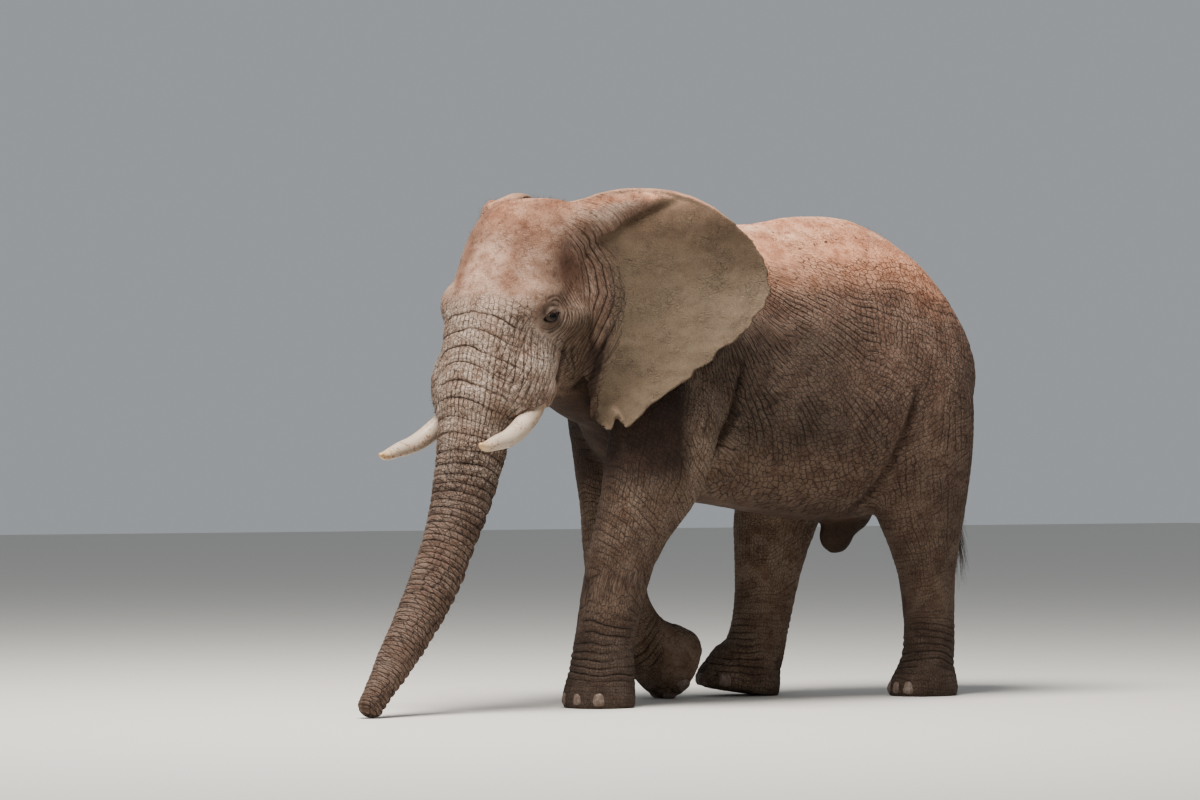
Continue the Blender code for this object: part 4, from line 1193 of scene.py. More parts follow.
def tusk_collars(co, out):
    """A rolled lip of skin where each tusk comes out of its sheath."""
    for side in (1, -1):
        away = np.full(len(co), 9.0)
        for middle, radius in tusk_line(side, COLLAR_STATIONS)[:COLLAR_LENGTH]:
            gap = np.linalg.norm(co - np.array(middle), axis=1) - radius
            away = np.minimum(away, gap)
        roll = COLLAR_ROLL * np.exp(-(((away - 0.014) / COLLAR_ROLL) ** 2))
        tuck = -COLLAR_TUCK * np.exp(-((away / COLLAR_TUCK) ** 2))
        co = co + out * (roll + tuck)[:, None]
    return co


# ---------------------------------------------------------------- colour
def linear(code):
    """sRGB hex to linear."""
    values = [int(code[i : i + 2], 16) / 255 for i in (1, 3, 5)]
    return [v / 12.92 if v <= 0.04045 else ((v + 0.055) / 1.055) ** 2.4 for v in values]


def tinted(tone, share, code):
    """The tone turned towards a colour by a share at each point."""
    return tone + (np.array(linear(code)) - tone) * np.clip(share, 0, 1)[:, None]


def hide_tones(co, h, at):
    """Colour of the hide by place: dust above, darker legs and trunk, pale forehead; painted shade
    under the belly, on the flank, face, throat, penile sheath and ears, and painted light on the
    near shoulder and far legs.
    """
    hx, hy, hz = h.T
    x, y, z = co.T
    head, trunk, ear, up = at["head"], at["trunk"], at["ear"], at["up"]
    patch = smooth(-0.5, 0.6, rough(co, 0.45, 21))
    small = smooth(-0.5, 0.6, rough(co, 0.12, 24))
    bold = smooth(-0.15, 0.45, rough(co, 0.20, 27))
    tone = np.tile(np.array(linear("#806758")), (len(co), 1))
    side = smooth(2.45, 2.15, z) * smooth(1.35, 1.6, z) * smooth(0.6, -0.1, y) * (1 - head)
    far = np.maximum(at["limb"], at["hand"]) * (at["side"] < 0) * smooth(1.4, 1.1, z)
    raised = z + 0.10 * waves(co, 0.3, 22) + 0.12 * smooth(0.5, 1.1, y)
    dust = smooth(2.30, 2.80, raised) * smooth(0.0, 0.65, up) * (1 - head)
    shoulder = np.exp(-(((y + 1.15) / 0.42) ** 2) - (((z - 1.58) / 0.35) ** 2)) * (x > 0.2)
    fore = head * smooth(2.30, 2.60, hz) * smooth(0.05, -0.2, hy)
    crown = head * smooth(2.66, 2.9, hz) * smooth(0.2, 0.7, up)
    band = np.exp(-(((np.abs(hx) - 0.17) / 0.06) ** 2)) * smooth(2.36, 2.5, hz)
    temple = np.exp(-(((hy + 0.26) / 0.24) ** 2) - (((hz - 2.63) / 0.26) ** 2))
    cheek = head * smooth(-0.44, -0.22, hy) * smooth(2.46, 2.22, hz)
    neck = head * smooth(-0.14, 0.06, hy) * smooth(2.85, 2.60, hz)
    pale = np.exp(-(((hy + 0.44) / 0.14) ** 2) - (((hz - 2.02) / 0.13) ** 2))
    throat_shadow = smooth(-0.12, 0.06, hy) * smooth(2.22, 2.05, z) * smooth(-0.95, -1.15, y)
    sheath = smooth(0.16, 0.08, np.abs(x)) * smooth(0.25, 0.40, y) * smooth(0.95, 0.80, y)
    low = smooth(0.9, 1.7, at["run"]) * trunk
    front = np.maximum(trunk, 0.8 * at["face"])
    sheet = ear * (at["ear_face"] > 0)
    socket = smooth(0.15, 0.05, at["eye_away"]) * smooth(0.2, 0.3, np.abs(hx)) * head
    # each colour goes over those before it, by its share
    layers = (
        (0.5 * patch, "#6f594b"),
        (smooth(2.05, 1.15, z) * (1 - head) * 0.75, "#594a3e"),
        # painted shade: darker under the belly, where shade falls beneath it
        (smooth(1.30, 1.02, z) * (1 - at["limb"]) * 0.75, "#3c2b20"),
        # painted shade on the flank
        (side * 0.75, "#463a30"),
        (smooth(0.75, 0.25, z) * (1 - trunk) * 0.7, "#46392f"),
        # painted light: the far legs lighter than the near ones
        (far * 0.8, "#776454"),
        # painted light on the near shoulder, lifting the shadow cast by the ear
        (shoulder * (1 - head) * 0.9, "#a08c7a"),
        (dust * (0.75 + 0.25 * patch), "#c98f6f"),
        (dust * small * smooth(0.6, 0.95, up) * 0.7, "#e8c0a2"),
        (dust * bold * smooth(0.5, 0.9, up) * 0.30, "#ae7658"),
        (head * (1 - ear), "#9b8474"),
        (fore, "#ad8d79"),
        (fore * bold * 0.8, "#855b43"),
        (crown * (0.55 + 0.45 * small), "#936449"),
        (head * band * (0.50 + 0.45 * small), "#7a5440"),
        # painted shade in the temple's hollow
        (head * temple * (0.78 + 0.22 * small), "#49352a"),
        # painted shade on the cheek
        (cheek * 0.8, "#62503f"),
        # painted shade on the neck behind the jaw, under the ear
        (neck * 0.7, "#5f4a3c"),
        (head * pale * 0.9, "#d0c2b3"),
        # painted shadow of the head across the throat
        (throat_shadow * (1 - ear) * smooth(1.15, 1.45, z), "#36251b"),
        # painted shade on the penile sheath under the belly
        (sheath * smooth(1.11, 1.06, z) * smooth(0.7, 0.85, z), "#33251c"),
        (front * 0.8, "#bdac9e"),
        (low * 0.85, "#685244"),
        (trunk * smooth(1.5, 2.5, np.abs(at["turn"])) * 0.6, "#58443a"),
        # the ears darker than the body: their own tone with painted shade on them
        (ear * 0.95, "#594a3a"),
        # painted shade on the lower part of the ear's front
        (sheet * smooth(2.80, 2.45, hz), "#4e4233"),
        (sheet * smooth(2.72, 2.92, hz) * 0.9, "#524030"),
        (sheet * patch * 0.25, "#56493a"),
        (sheet * small * 0.12, "#75614f"),
        (ear * smooth(0.25, 0.75, up) * smooth(2.80, 2.95, hz) * 0.8, "#a37a62"),
        (ear * (at["ear_face"] < 0) * 0.4, "#6e584a"),
        # painted shade in the hollow round the eye
        (socket * 0.80, "#4c3d34"),
        # dark lid rims, their own colour, with painted shade in the folds round the eye
        (at["eye"], "#241b17"),
    )
    for share, code in layers:
        tone = tinted(tone, share, code)
    return tone, dust


# ---------------------------------------------------------------- flat lay of the skin
# Where each part lies in the unwrap: left, bottom, width, height
LAY = {
    "torso": (0.005, 0.585, 0.53, 0.41),
    "head": (0.545, 0.70, 0.45, 0.295),
    "trunk": (0.545, 0.35, 0.20, 0.34),
    "ear_1_1": (0.755, 0.35, 0.115, 0.17),
    "ear_1_-1": (0.88, 0.35, 0.115, 0.17),
    "ear_-1_1": (0.755, 0.525, 0.115, 0.17),
    "ear_-1_-1": (0.88, 0.525, 0.115, 0.17),
    "foreleg_left": (0.005, 0.30, 0.17, 0.275),
    "foreleg_right": (0.185, 0.30, 0.17, 0.275),
    "hindleg_left": (0.365, 0.30, 0.17, 0.275),
    "hindleg_right": (0.005, 0.01, 0.17, 0.275),
    "hand": (0.185, 0.15, 0.17, 0.135),
    "tail": (0.365, 0.15, 0.06, 0.135),
    "sole": (0.45, 0.02, 0.35, 0.30),
}


def round_axis(across, deep):
    """Turn from 0 to 1 whose seam is where deep is most negative."""
    return np.arctan2(across, deep) / (2 * math.pi) + 0.5


def laid_out(co, h, at):
    """Part and flat place of each point: dictionaries of share, and of u, v within the part."""
    x, y, z = co.T
    hx, hy, hz = h.T
    shares, flats = {}, {}

    def put(name, share, u, v):
        """Notes how much each point belongs to a part, and where it lies in it."""
        shares[name] = share
        flats[name] = np.stack([np.clip(u, -0.5, 1.5), np.clip(v, 0, 1)], 1)

    put("torso", np.full(len(co), 0.35), round_axis(x, z - 2.0), (y + 1.6) / 3.25)
    put("head", at["head"] * 0.9, round_axis(hx, -hy - 0.1), (hz - 1.6) / 1.45)
    put("trunk", at["trunk"], round_axis(hx, -(hy + 0.55 + 0.30 * (2.0 - hz))), at["run"] / 3.0)
    for side in (1, -1):
        for face in (1, -1):
            share = 1.5 * at["ear"] * (at["side"] == side) * (at["ear_face"] == face)
            u, v = (at[way] * 0.98 + 0.01 for way in ("ear_across", "ear_row"))
            put(f"ear_{side}_{face}", share, u, v)
    for name, (table, _) in FOLD_ROWS.items():
        rows = np.array(sorted(eased(table, LEG_ROWS)))
        cx = np.interp(z, rows[:, 0], rows[:, 1])
        cy = np.interp(z, rows[:, 0], rows[:, 2])
        own = (at["side"] == (1 if "left" in name else -1)) * ((y < -0.15) == ("fore" in name))
        put(name, at["limb"] * own, round_axis(x - cx, cy - y), z / 2.1)
    put("hand", 1.2 * (at["hand"] > 0.5), round_axis(x - HAND_RIGHT_X, z - 0.3 - (y + 0.6) * -0.5),
        (y + 1.1) / 0.8)
    on_tail = (y > 1.47) & (z < 2.1) & (np.abs(x) < 0.08)
    put("tail", 1.4 * on_tail, round_axis(x, y - 1.5), z / 2.2)
    put("sole", 2.0 * ((at["up"] < -0.75) & (z < 0.03)), x * 0.5 + 0.5, (y + 2) / 3.4)
    return shares, flats


def unwrapped(mesh, shares, flats):
    """Gives the mesh its flat lay, one part to a block of the square."""
    loops = len(mesh.loops)
    corner = np.empty(loops, np.int32)
    mesh.loops.foreach_get("vertex_index", corner)
    total = np.empty(len(mesh.polygons), np.int32)
    mesh.polygons.foreach_get("loop_total", total)
    first = np.concatenate([[0], np.cumsum(total)[:-1]])
    owner = np.repeat(np.arange(len(total)), total)
    names = list(LAY)
    weights = np.stack([shares[n] for n in names])
    votes = np.stack([np.add.reduceat(w[corner], first) for w in weights])
    chosen = votes.argmax(0)[owner]
    uv = np.zeros((loops, 2))
    for i, name in enumerate(names):
        mine = chosen == i
        if not mine.any():
            continue
        flat = flats[name][corner]
        u = flat[:, 0]
        low = np.minimum.reduceat(u, first)[owner]
        high = np.maximum.reduceat(u, first)[owner]
        if not name.startswith(("ear", "sole")):
            u = np.where((high - low > 0.5) & (u < 0.5), u + 1.0, u)
            u = u / 1.04
        left, bottom, wide, tall = LAY[name]
        uv[mine, 0] = left + wide * np.clip(u[mine], 0, 1)
        uv[mine, 1] = bottom + tall * np.clip(flat[mine, 1], 0, 1)
    layer = mesh.uv_layers.new(name="OFBake")
    layer.data.foreach_set("uv", uv.astype(np.float32).ravel())


def store(mesh, name, columns):
    """Four measures to a point, kept with the mesh for its finish."""
    values = np.ones((len(mesh.vertices), 4), np.float32)
    for i, column in enumerate(columns):
        values[:, i] = column
    attribute = mesh.attributes.new(name, "FLOAT_COLOR", "POINT")
    attribute.data.foreach_set("color", values.ravel())


# ---------------------------------------------------------------- finishes
def add(tree, kind, *inputs, out=0, **settings):
    """Adds a node with its settings, fills or links its inputs in order, and gives an output."""
    node = tree.nodes.new("ShaderNode" + kind)
    for name, value in settings.items():
        setattr(node, name, value)
    for socket, value in zip([s for s in node.inputs if s.enabled], inputs):
        if isinstance(value, bpy.types.NodeSocket):
            tree.links.new(value, socket)
        elif value is not None:
            socket.default_value = value
    return [s for s in node.outputs if s.enabled][out]


TIMES = {"operation": "MULTIPLY"}
PLUS = {"operation": "ADD"}
TIMES_PLUS = {"operation": "MULTIPLY_ADD"}
GREATER = {"operation": "MAXIMUM"}
TINT = {"data_type": "RGBA"}
DARKEN = {"data_type": "RGBA", "blend_type": "MULTIPLY"}
EASE = {"interpolation_type": "SMOOTHSTEP"}


def shade_of(code):
    """sRGB hex as a colour for a socket."""
    return (*linear(code), 1.0)


def finish(name, **sockets):
    """A material, its tree and its shader, with plain socket values set."""
    made = bpy.data.materials.new(name)
    made.use_nodes = True
    tree = made.node_tree
    shader = tree.nodes["Principled BSDF"]
    for socket, value in sockets.items():
        shader.inputs[socket.replace("_", " ")].default_value = value
    return made, tree, shader


def measured(tree, name):
    """The four measures kept with the mesh under a name, and the first three as one colour."""
    held = [add(tree, "Attribute", attribute_name=name, out=i) for i in (0, 3)]
    return [add(tree, "SeparateColor", held[0], out=i) for i in range(3)] + [held[1], held[0]]


CREASE_SHARPNESS = 10.0
FINE_SHARPNESS = 7.0  # of the finer creases between two folds
FINE_SHARE = 0.55
# Sizes of the hide's small patterns in metres; grit is drawn coarser than the real dust, which
# would be too fine to show
PEBBLE = 0.013
GRIT = 0.006
MUD_CRUMB = 0.055
HAIR_CRACK = 0.032
# Features to a metre of its soft ones: 25, 71, 143, 111 and 36 mm apart
FOLD_WANDER = 40.0
PEBBLE_BEND = 14.0
CRACKED_PATCH = 7.0
DUST_PATCH = 9.0
EARTH_BLOTCH = 28.0


def creases(tree, phase, times, sharpness):
    """Dark lines at each whole number of a fold measure."""
    part = add(tree, "Math", add(tree, "Math", phase, times, **TIMES), operation="FRACT")
    ridge = add(tree, "Math", part, 2.0, -1.0, **TIMES_PLUS)
    return add(tree, "Math", add(tree, "Math", ridge, operation="ABSOLUTE"), sharpness,
               operation="POWER")


# Fold measures, with how many small cells lie between two folds each way, how plain the
# cells are and how far the folds wander
FOLD_LOOKS = (
    ("trunk_folds", 2.6, 1.0, 0.6, 0.12),
    ("face_folds", 1.2, 1.0, 0.5, 0.20),
    ("limb_folds", 1.8, 1.5, 0.75, 0.24),
    ("barrel_folds", 1.7, 1.3, 0.90, 0.26),
)


def fold_lines(tree, spot):
    """How deep in a fold each place lies, and how near a crack between the small cells."""
    flutter = add(tree, "TexNoise", spot, FOLD_WANDER, 2.0)
    deep = None
    crazed = None
    for name, rows, columns, fine, sway in FOLD_LOOKS:
        first, second, first_share, second_share, _ = measured(tree, name)
        wander = add(tree, "Math", flutter, sway, -sway / 2, **TIMES_PLUS)
        shaken = [add(tree, "Math", phase, wander, **PLUS) for phase in (first, second)]
        for phase, share in zip(shaken, (first_share, second_share)):
            main = creases(tree, phase, 1.0, CREASE_SHARPNESS)
            minor = creases(tree, phase, 2.0, FINE_SHARPNESS)
            both = add(tree, "Math", minor, FINE_SHARE, main, **TIMES_PLUS)
            part = add(tree, "Math", both, share, **TIMES)
            deep = part if deep is None else add(tree, "Math", deep, part, **GREATER)
        flat = add(tree, "CombineXYZ", add(tree, "Math", shaken[0], rows, **TIMES),
                   add(tree, "Math", shaken[1], columns, **TIMES))
        border = add(tree, "TexVoronoi", flat, 1.0, 0.0, 0.5, 2.0, 0.8,
                     voronoi_dimensions="2D", feature="DISTANCE_TO_EDGE")
        crack = add(tree, "MapRange", border, 0.0, 0.14, 1.0, -0.22, **EASE)
        share = second_share
        if name != "trunk_folds":
            share = add(tree, "Math", first_share, second_share, **GREATER)
        share = add(tree, "MapRange", share, 0.0, 0.12, 0.0, fine)
        crack = add(tree, "Math", crack, share, **TIMES)
        crazed = crack if crazed is None else add(tree, "Math", crazed, crack, **GREATER)
    return deep, crazed


def hide_finish():
    """Living hide, dry and dusty: creased in nets and rings, pebbled between the creases.
    Dull and rough; pale on the ridges, where dust sits and a highlight is painted, with painted
    shade in the folds and cracks."""
    made, tree, shader = finish("dry_dusty_hide", Roughness=0.82, IOR=1.45)
    shader.inputs["Specular IOR Level"].default_value = 0.30
    spot = add(tree, "TexCoord", out=3)
    tone = measured(tree, "tone")[4]
    cut, dust, smoothness, wet = measured(tree, "relief")[:4]
    deep, crazed = fold_lines(tree, spot)
    bent = add(tree, "TexNoise", spot, PEBBLE_BEND, 1.0, out=1)
    shifted = add(tree, "Mix", 0.06, spot, bent, **TINT)
    pebble = add(tree, "TexVoronoi", shifted, 1 / PEBBLE, 0.0, 0.5, 2.0, 1.0,
                 feature="DISTANCE_TO_EDGE")
    net = add(tree, "MapRange", pebble, 0.0, 0.16, 1.0, 0.0, **EASE)
    net = add(tree, "Math", net, add(tree, "MapRange", smoothness, 0.0, 1.0, 1.0, 0.45), **TIMES)
    flattened = add(tree, "Mapping", shifted, None, None, (1.0, 1.0, 2.4))
    hair = add(tree, "TexVoronoi", flattened, 1 / HAIR_CRACK, 0.0, 0.5, 2.0, 1.0,
               feature="DISTANCE_TO_EDGE")
    hair = add(tree, "MapRange", hair, 0.0, 0.07, 1.0, 0.0, **EASE)
    cracked = add(tree, "TexNoise", spot, CRACKED_PATCH, 3.0)
    cracked = add(tree, "MapRange", cracked, 0.42, 0.62, **EASE)
    hair = add(tree, "Math", hair, cracked, **TIMES)
    grit = add(tree, "TexNoise", spot, 1 / GRIT, 3.0)
    patch = add(tree, "TexNoise", spot, DUST_PATCH, 4.0)

    dark = shade_of("#8a7a70")
    # painted shade: darker along the crease lines
    shade = add(tree, "Mix", add(tree, "Math", deep, 0.95, use_clamp=True, **TIMES), tone,
                shade_of("#74665c"), **DARKEN)
    # painted highlight on the cells between the cracks and painted shade in the cracks, with dust on
    # the ridges
    worn = add(tree, "MapRange", crazed, -0.22, 0.80, 1.22, 0.30)
    shade = add(tree, "Mix", 1.0, shade, worn, **DARKEN)
    # painted shade in the fine cracks of the pebbled net and the hair cracks
    shade = add(tree, "Mix", add(tree, "Math", net, 0.24, **TIMES), shade, dark, **DARKEN)
    shade = add(tree, "Mix", add(tree, "Math", hair, 0.50, **TIMES), shade, dark, **DARKEN)
    # painted shade: darker where the folds are carved deeper
    shade = add(tree, "Mix", add(tree, "Math", cut, 0.70, use_clamp=True, **TIMES), shade,
                shade_of("#97897f"), **DARKEN)
    mottle = add(tree, "MapRange", patch, 0.40, 0.62, 0.0, 0.55, **EASE)
    plain = add(tree, "MapRange", smoothness, 0.0, 1.0, 1.0, 0.30)
    mottle = add(tree, "Math", mottle, plain, **TIMES)
    shade = add(tree, "Mix", mottle, shade, shade_of("#c2ab9b"), **DARKEN)
    blotch = add(tree, "TexNoise", spot, EARTH_BLOTCH, 3.0)
    blotch = add(tree, "MapRange", blotch, 0.52, 0.66, **EASE)
    blotch = add(tree, "Math", blotch, plain, **TIMES)
    shade = add(tree, "Mix", add(tree, "Math", blotch, 0.45, **TIMES), shade,
                shade_of("#bd9f8c"), **DARKEN)
    speck = add(tree, "MapRange", grit, 0.35, 0.65, 0.80, 1.16, **EASE)
    shade = add(tree, "Mix", 1.0, shade, speck, **DARKEN)
    # crumbs of dried mud on the back
    crumbs = [add(tree, "TexVoronoi", shifted, 1 / MUD_CRUMB, out=i) for i in (0, 1)]
    crumb = add(tree, "MapRange", crumbs[0], 0.13, 0.20, 1.0, 0.0, **EASE)
    pick = add(tree, "Math", add(tree, "SeparateColor", crumbs[1]), 0.66, operation="GREATER_THAN")
    crumb = add(tree, "Math", crumb, pick, **TIMES)
    crumb = add(tree, "Math", crumb, add(tree, "Math", dust, 0.9, use_clamp=True, **TIMES), **TIMES)
    shade = add(tree, "Mix", crumb, shade, shade_of("#3a2820"), **TINT)
    tree.links.new(shade, shader.inputs["Base Color"])
    gloss = add(tree, "MapRange", wet, 0.0, 1.0, 0.84, 0.36)
    tree.links.new(gloss, shader.inputs["Roughness"])

    height = add(tree, "Math", deep, -1.0, **TIMES)
    for layer, share in ((crazed, -0.75), (net, -0.30), (hair, -0.4), (grit, 0.30), (crumb, 0.5)):
        height = add(tree, "Math", layer, share, height, **TIMES_PLUS)
    bump = add(tree, "Bump", 0.90, 0.006, None, height)
    tree.links.new(bump, shader.inputs["Normal"])
    return made


# Features to a metre: clouds of stain, scuffs, ridges of horn, dirt and the hair's change of tone
IVORY_CLOUD = 14.0
IVORY_SCUFF = 60.0
NAIL_RIDGE = 130.0
NAIL_DIRT = 30.0
HAIR_SHIFT = 25.0


def ivory_finish():
    """Ivory, polished by use and stained with earth: warm white, faint lengthwise streaks,
    brown scuffs and a yellower tip."""
    made, tree, shader = finish("satin_ivory", Roughness=0.40, IOR=1.54)
    spot = add(tree, "TexCoord", out=3)
    along, round_ = measured(tree, "run")[:2]
    streak_at = add(tree, "CombineXYZ", add(tree, "Math", along, 3.0, **TIMES),
                    add(tree, "Math", round_, 26.0, **TIMES))
    streak = add(tree, "TexNoise", streak_at, 1.6, 4.0)
    cloud = add(tree, "TexNoise", spot, IVORY_CLOUD, 5.0)
    scuff = add(tree, "TexNoise", spot, IVORY_SCUFF, 3.0)
    colour = add(tree, "Mix", add(tree, "MapRange", streak, 0.35, 0.75, 0.0, 0.6, **EASE),
                 shade_of("#b5a492"), shade_of("#917d69"), **TINT)
    tip = add(tree, "MapRange", along, 0.70, 1.0, 0.0, 0.8, **EASE)
    colour = add(tree, "Mix", tip, colour, shade_of("#b8935f"), **TINT)
    stain = add(tree, "MapRange", cloud, 0.44, 0.60, **EASE)
    fleck = add(tree, "MapRange", scuff, 0.50, 0.62, **EASE)
    worn = add(tree, "Math", add(tree, "Math", stain, fleck, **TIMES), 0.85, **TIMES)
    colour = add(tree, "Mix", worn, colour, shade_of("#7d5138"), **TINT)
    root = add(tree, "MapRange", along, 0.32, 0.10, 0.0, 0.6, **EASE)
    colour = add(tree, "Mix", root, colour, shade_of("#93745c"), **TINT)
    tree.links.new(colour, shader.inputs["Base Color"])
    height = add(tree, "Math", streak, 0.6, scuff, **TIMES_PLUS)
    tree.links.new(add(tree, "Bump", 0.35, 0.0015, None, height), shader.inputs["Normal"])
    return made


def nail_finish():
    """Nail horn, worn and dusty: dull grey-brown with fine upright ridges and scuffed edges."""
    made, tree, shader = finish("scuffed_nail_horn", Roughness=0.62, IOR=1.5)
    spot = add(tree, "TexCoord", out=3)
    ridged = add(tree, "Mapping", spot, None, None, (1.0, 1.0, 0.12))
    ridge = add(tree, "TexNoise", ridged, NAIL_RIDGE, 2.0)
    cloud = add(tree, "TexNoise", spot, NAIL_DIRT, 4.0)
    colour = add(tree, "Mix", add(tree, "MapRange", ridge, 0.35, 0.65, **EASE),
                 shade_of("#75645a"), shade_of("#54473d"), **TINT)
    dirt = add(tree, "MapRange", cloud, 0.42, 0.68, 0.0, 0.85, **EASE)
    colour = add(tree, "Mix", dirt, colour, shade_of("#553f31"), **TINT)
    tree.links.new(colour, shader.inputs["Base Color"])
    tree.links.new(add(tree, "Bump", 0.5, 0.002, None, ridge), shader.inputs["Normal"])
    return made


def eye_finish():
    """Wet eye: amber-brown iris round a dark pupil, brown at the edges, under a clear gloss."""
    made, tree, shader = finish("wet_eye", Roughness=0.10, IOR=1.30)
    away, turn = measured(tree, "gaze")[:2]
    rays_at = add(tree, "CombineXYZ", add(tree, "Math", turn, 60.0, **TIMES),
                  add(tree, "Math", away, 3.0, **TIMES))
    rays = add(tree, "TexNoise", rays_at, 1.0, 3.0)
    iris = add(tree, "Mix", rays, shade_of("#140c07"), shade_of("#3a2413"), **TINT)
    for low, high, most, code in (
        (0.52, 0.60, 1.0, "#1a110d"),
        (0.66, 0.95, 0.6, "#40302a"),
    ):
        share = add(tree, "MapRange", away, low, high, 0.0, most, **EASE)
        iris = add(tree, "Mix", share, iris, shade_of(code), **TINT)
    pupil = add(tree, "MapRange", away, 0.24, 0.28, 1.0, 0.0, **EASE)
    tree.links.new(add(tree, "Mix", pupil, iris, shade_of("#050403"), **TINT),
                   shader.inputs["Base Color"])
    return made


def hair_finish():
    """Coarse wiry hair: near black with a warm, dull shine."""
    made, tree, shader = finish("coarse_dark_hair", Roughness=0.45, IOR=1.5)
    spot = add(tree, "TexCoord", out=3)
    shift = add(tree, "TexNoise", spot, HAIR_SHIFT, 3.0)
    colour = add(tree, "Mix", add(tree, "MapRange", shift, 0.3, 0.7, **EASE),
                 shade_of("#1c1512"), shade_of("#453528"), **TINT)
    tree.links.new(colour, shader.inputs["Base Color"])
    return made


# ---------------------------------------------------------------- eyes, tusks and nails
def grid_mesh(name, rows):
    """Mesh through rows of points, each row a ring, with its ends capped to a point."""
    bm = bmesh.new()
    made = [[bm.verts.new(p) for p in row] for row in rows]
    between_rings(bm, made)
    for row, flip in ((made[0], True), (made[-1], False)):
        middle = bm.verts.new(sum((v.co for v in row), Vector()) / len(row))
        for i in range(len(row)):
            pair = (row[i], row[(i + 1) % len(row)])
            bm.faces.new((*(pair[::-1] if flip else pair), middle))
    bmesh.ops.recalc_face_normals(bm, faces=bm.faces)
    return mesh_of(bm, name)


def show(name, mesh, material, nodes):
    """Puts a finished piece in the scene in place of its nodes, riding on the animal."""
    mesh.materials.clear()
    mesh.materials.append(material)
    mesh.shade_smooth()
    obj = place(name, mesh)
    if nodes:
        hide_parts(*nodes)
    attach(obj, "root")
    return obj


EYE_RINGS = 40
EYE_SPOKES = 64
CORNEA_BULGE = 0.0022  # how far the clear front stands off the ball
CORNEA_REACH = 0.55  # radians from the middle of the gaze


def make_eye(side, material):
    """Eyeball with a bulging clear front, looking out and a little ahead and down."""
    centre, forward, up, outward = eye_frame(side)
    gaze = (outward + forward * 0.10 - up * 0.04).normalized()
    level = gaze.cross(up).normalized()
    over = level.cross(gaze)
    rows, marks = [], []
    for i in range(EYE_RINGS):
        polar = math.pi * (i + 0.5) / EYE_RINGS
        row = []
        for k in range(EYE_SPOKES):
            turn = 2 * math.pi * k / EYE_SPOKES
            flat = math.sin(polar)
            way = gaze * math.cos(polar) + (level * math.cos(turn) + over * math.sin(turn)) * flat
            bulge = CORNEA_BULGE * math.exp(-((polar / CORNEA_REACH) ** 4))
            row.append(centre + STANDPOINT + way * (EYE_RADIUS + bulge))
            marks.append((min(polar / (math.pi / 2), 1.0), k / EYE_SPOKES, 0))
        rows.append(row)
    mesh = grid_mesh("eye", rows)
    marks += [(0, 0, 0), (1, 0, 0)]
    store(mesh, "gaze", np.array(marks).T)
    word = SIDE_NAMES[side]
    return show(f"eye_{word}_ball", mesh, material, [f"eye_{word}"])


TUSK_STATIONS = 64
TUSK_SIDES = 40


def make_tusk(side, material):
    """Curved, slightly uneven ivory from its root inside the sheath to a blunt tip."""
    stations = tusk_line(side, TUSK_STATIONS)
    first, second = stations[0], stations[1]
    back = (first[0] - second[0]).normalized()
    stations = [(first[0] + back * TUSK_ROOT, first[1]), *stations]
    rows, marks = [], []
    for i, (middle, radius) in enumerate(stations):
        before = stations[max(0, i - 1)][0]
        after = stations[min(len(stations) - 1, i + 1)][0]
        ahead = (after - before).normalized()
        across = ahead.cross(Vector((0, 0, 1))).normalized()
        over = across.cross(ahead)
        t = i / (len(stations) - 1)
        row = []
        for k in range(TUSK_SIDES):
            turn = 2 * math.pi * k / TUSK_SIDES
            uneven = 1 + 0.012 * math.sin(3 * turn + 5 * t) + 0.010 * math.sin(19 * t + turn)
            reach = (across * math.cos(turn) + over * math.sin(turn) * 0.96) * radius * uneven
            row.append(middle + reach + STANDPOINT)
            marks.append((t, 0.5 - 0.5 * math.cos(turn), 0))
        rows.append(row)
    tip = stations[-1][0] + STANDPOINT
    rows.append([tip + (p - tip) * 0.55 + ahead * 0.006 for p in rows[-1]])
    marks += [(1, 0.5, 0)] * TUSK_SIDES + [(0, 0.5, 0), (1, 0.5, 0)]
    mesh = grid_mesh("tusk", rows)
    store(mesh, "run", np.array(marks).T)
    word = SIDE_NAMES[side]
    return show(f"tusk_{word}_ivory", mesh, material, [f"tusk_{word}"])


NAIL_WIDTH = 0.046  # half of it
NAIL_HEIGHT = 0.040  # half of it
NAIL_DEPTH = 0.020
NAIL_RINGS = 20
NAIL_POINTS = 36


def make_nail(node, skin_tree, skin_normals, material):
    """Broad, domed nail set in the skin, thicker at its worn lower edge."""
    low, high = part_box(node)
    centre = (low + high) / 2
    near = [index for _, index, _ in skin_tree.find_n(centre, 60)]
    outward = Vector(skin_normals[near].mean(0)).normalized()
    bent = node.startswith("forefoot_right")
    up = Vector((0, 0.66, 0.75)) if bent else Vector((0, 0, 1))
    across = outward.cross(up).normalized()
    rise = across.cross(outward).normalized()
    rows = []
    for i in range(1, NAIL_RINGS):
        polar = math.pi * i / NAIL_RINGS
        row = []
        for k in range(NAIL_POINTS):
            turn = 2 * math.pi * k / NAIL_POINTS
            a, b = superellipse(turn, 2.7)
            a, b = a * math.sin(polar), b * math.sin(polar)
            dome = math.cos(polar)
            worn = 1.12 if b < 0 else 1.0
            point = across * a * NAIL_WIDTH * (1 - 0.10 * b) + rise * b * NAIL_HEIGHT
            point += outward * (dome * NAIL_DEPTH * worn - 0.18 * NAIL_DEPTH - 0.012 * a * a)
            spot = centre + point
            spot.z = max(spot.z, 0.001)
            row.append(spot)
        rows.append(row)
    return show(node + "_horn", grid_mesh("nail", rows), material, [node])


# ---------------------------------------------------------------- hair
PATCH = 0.003  # of the unwrap given to each hair


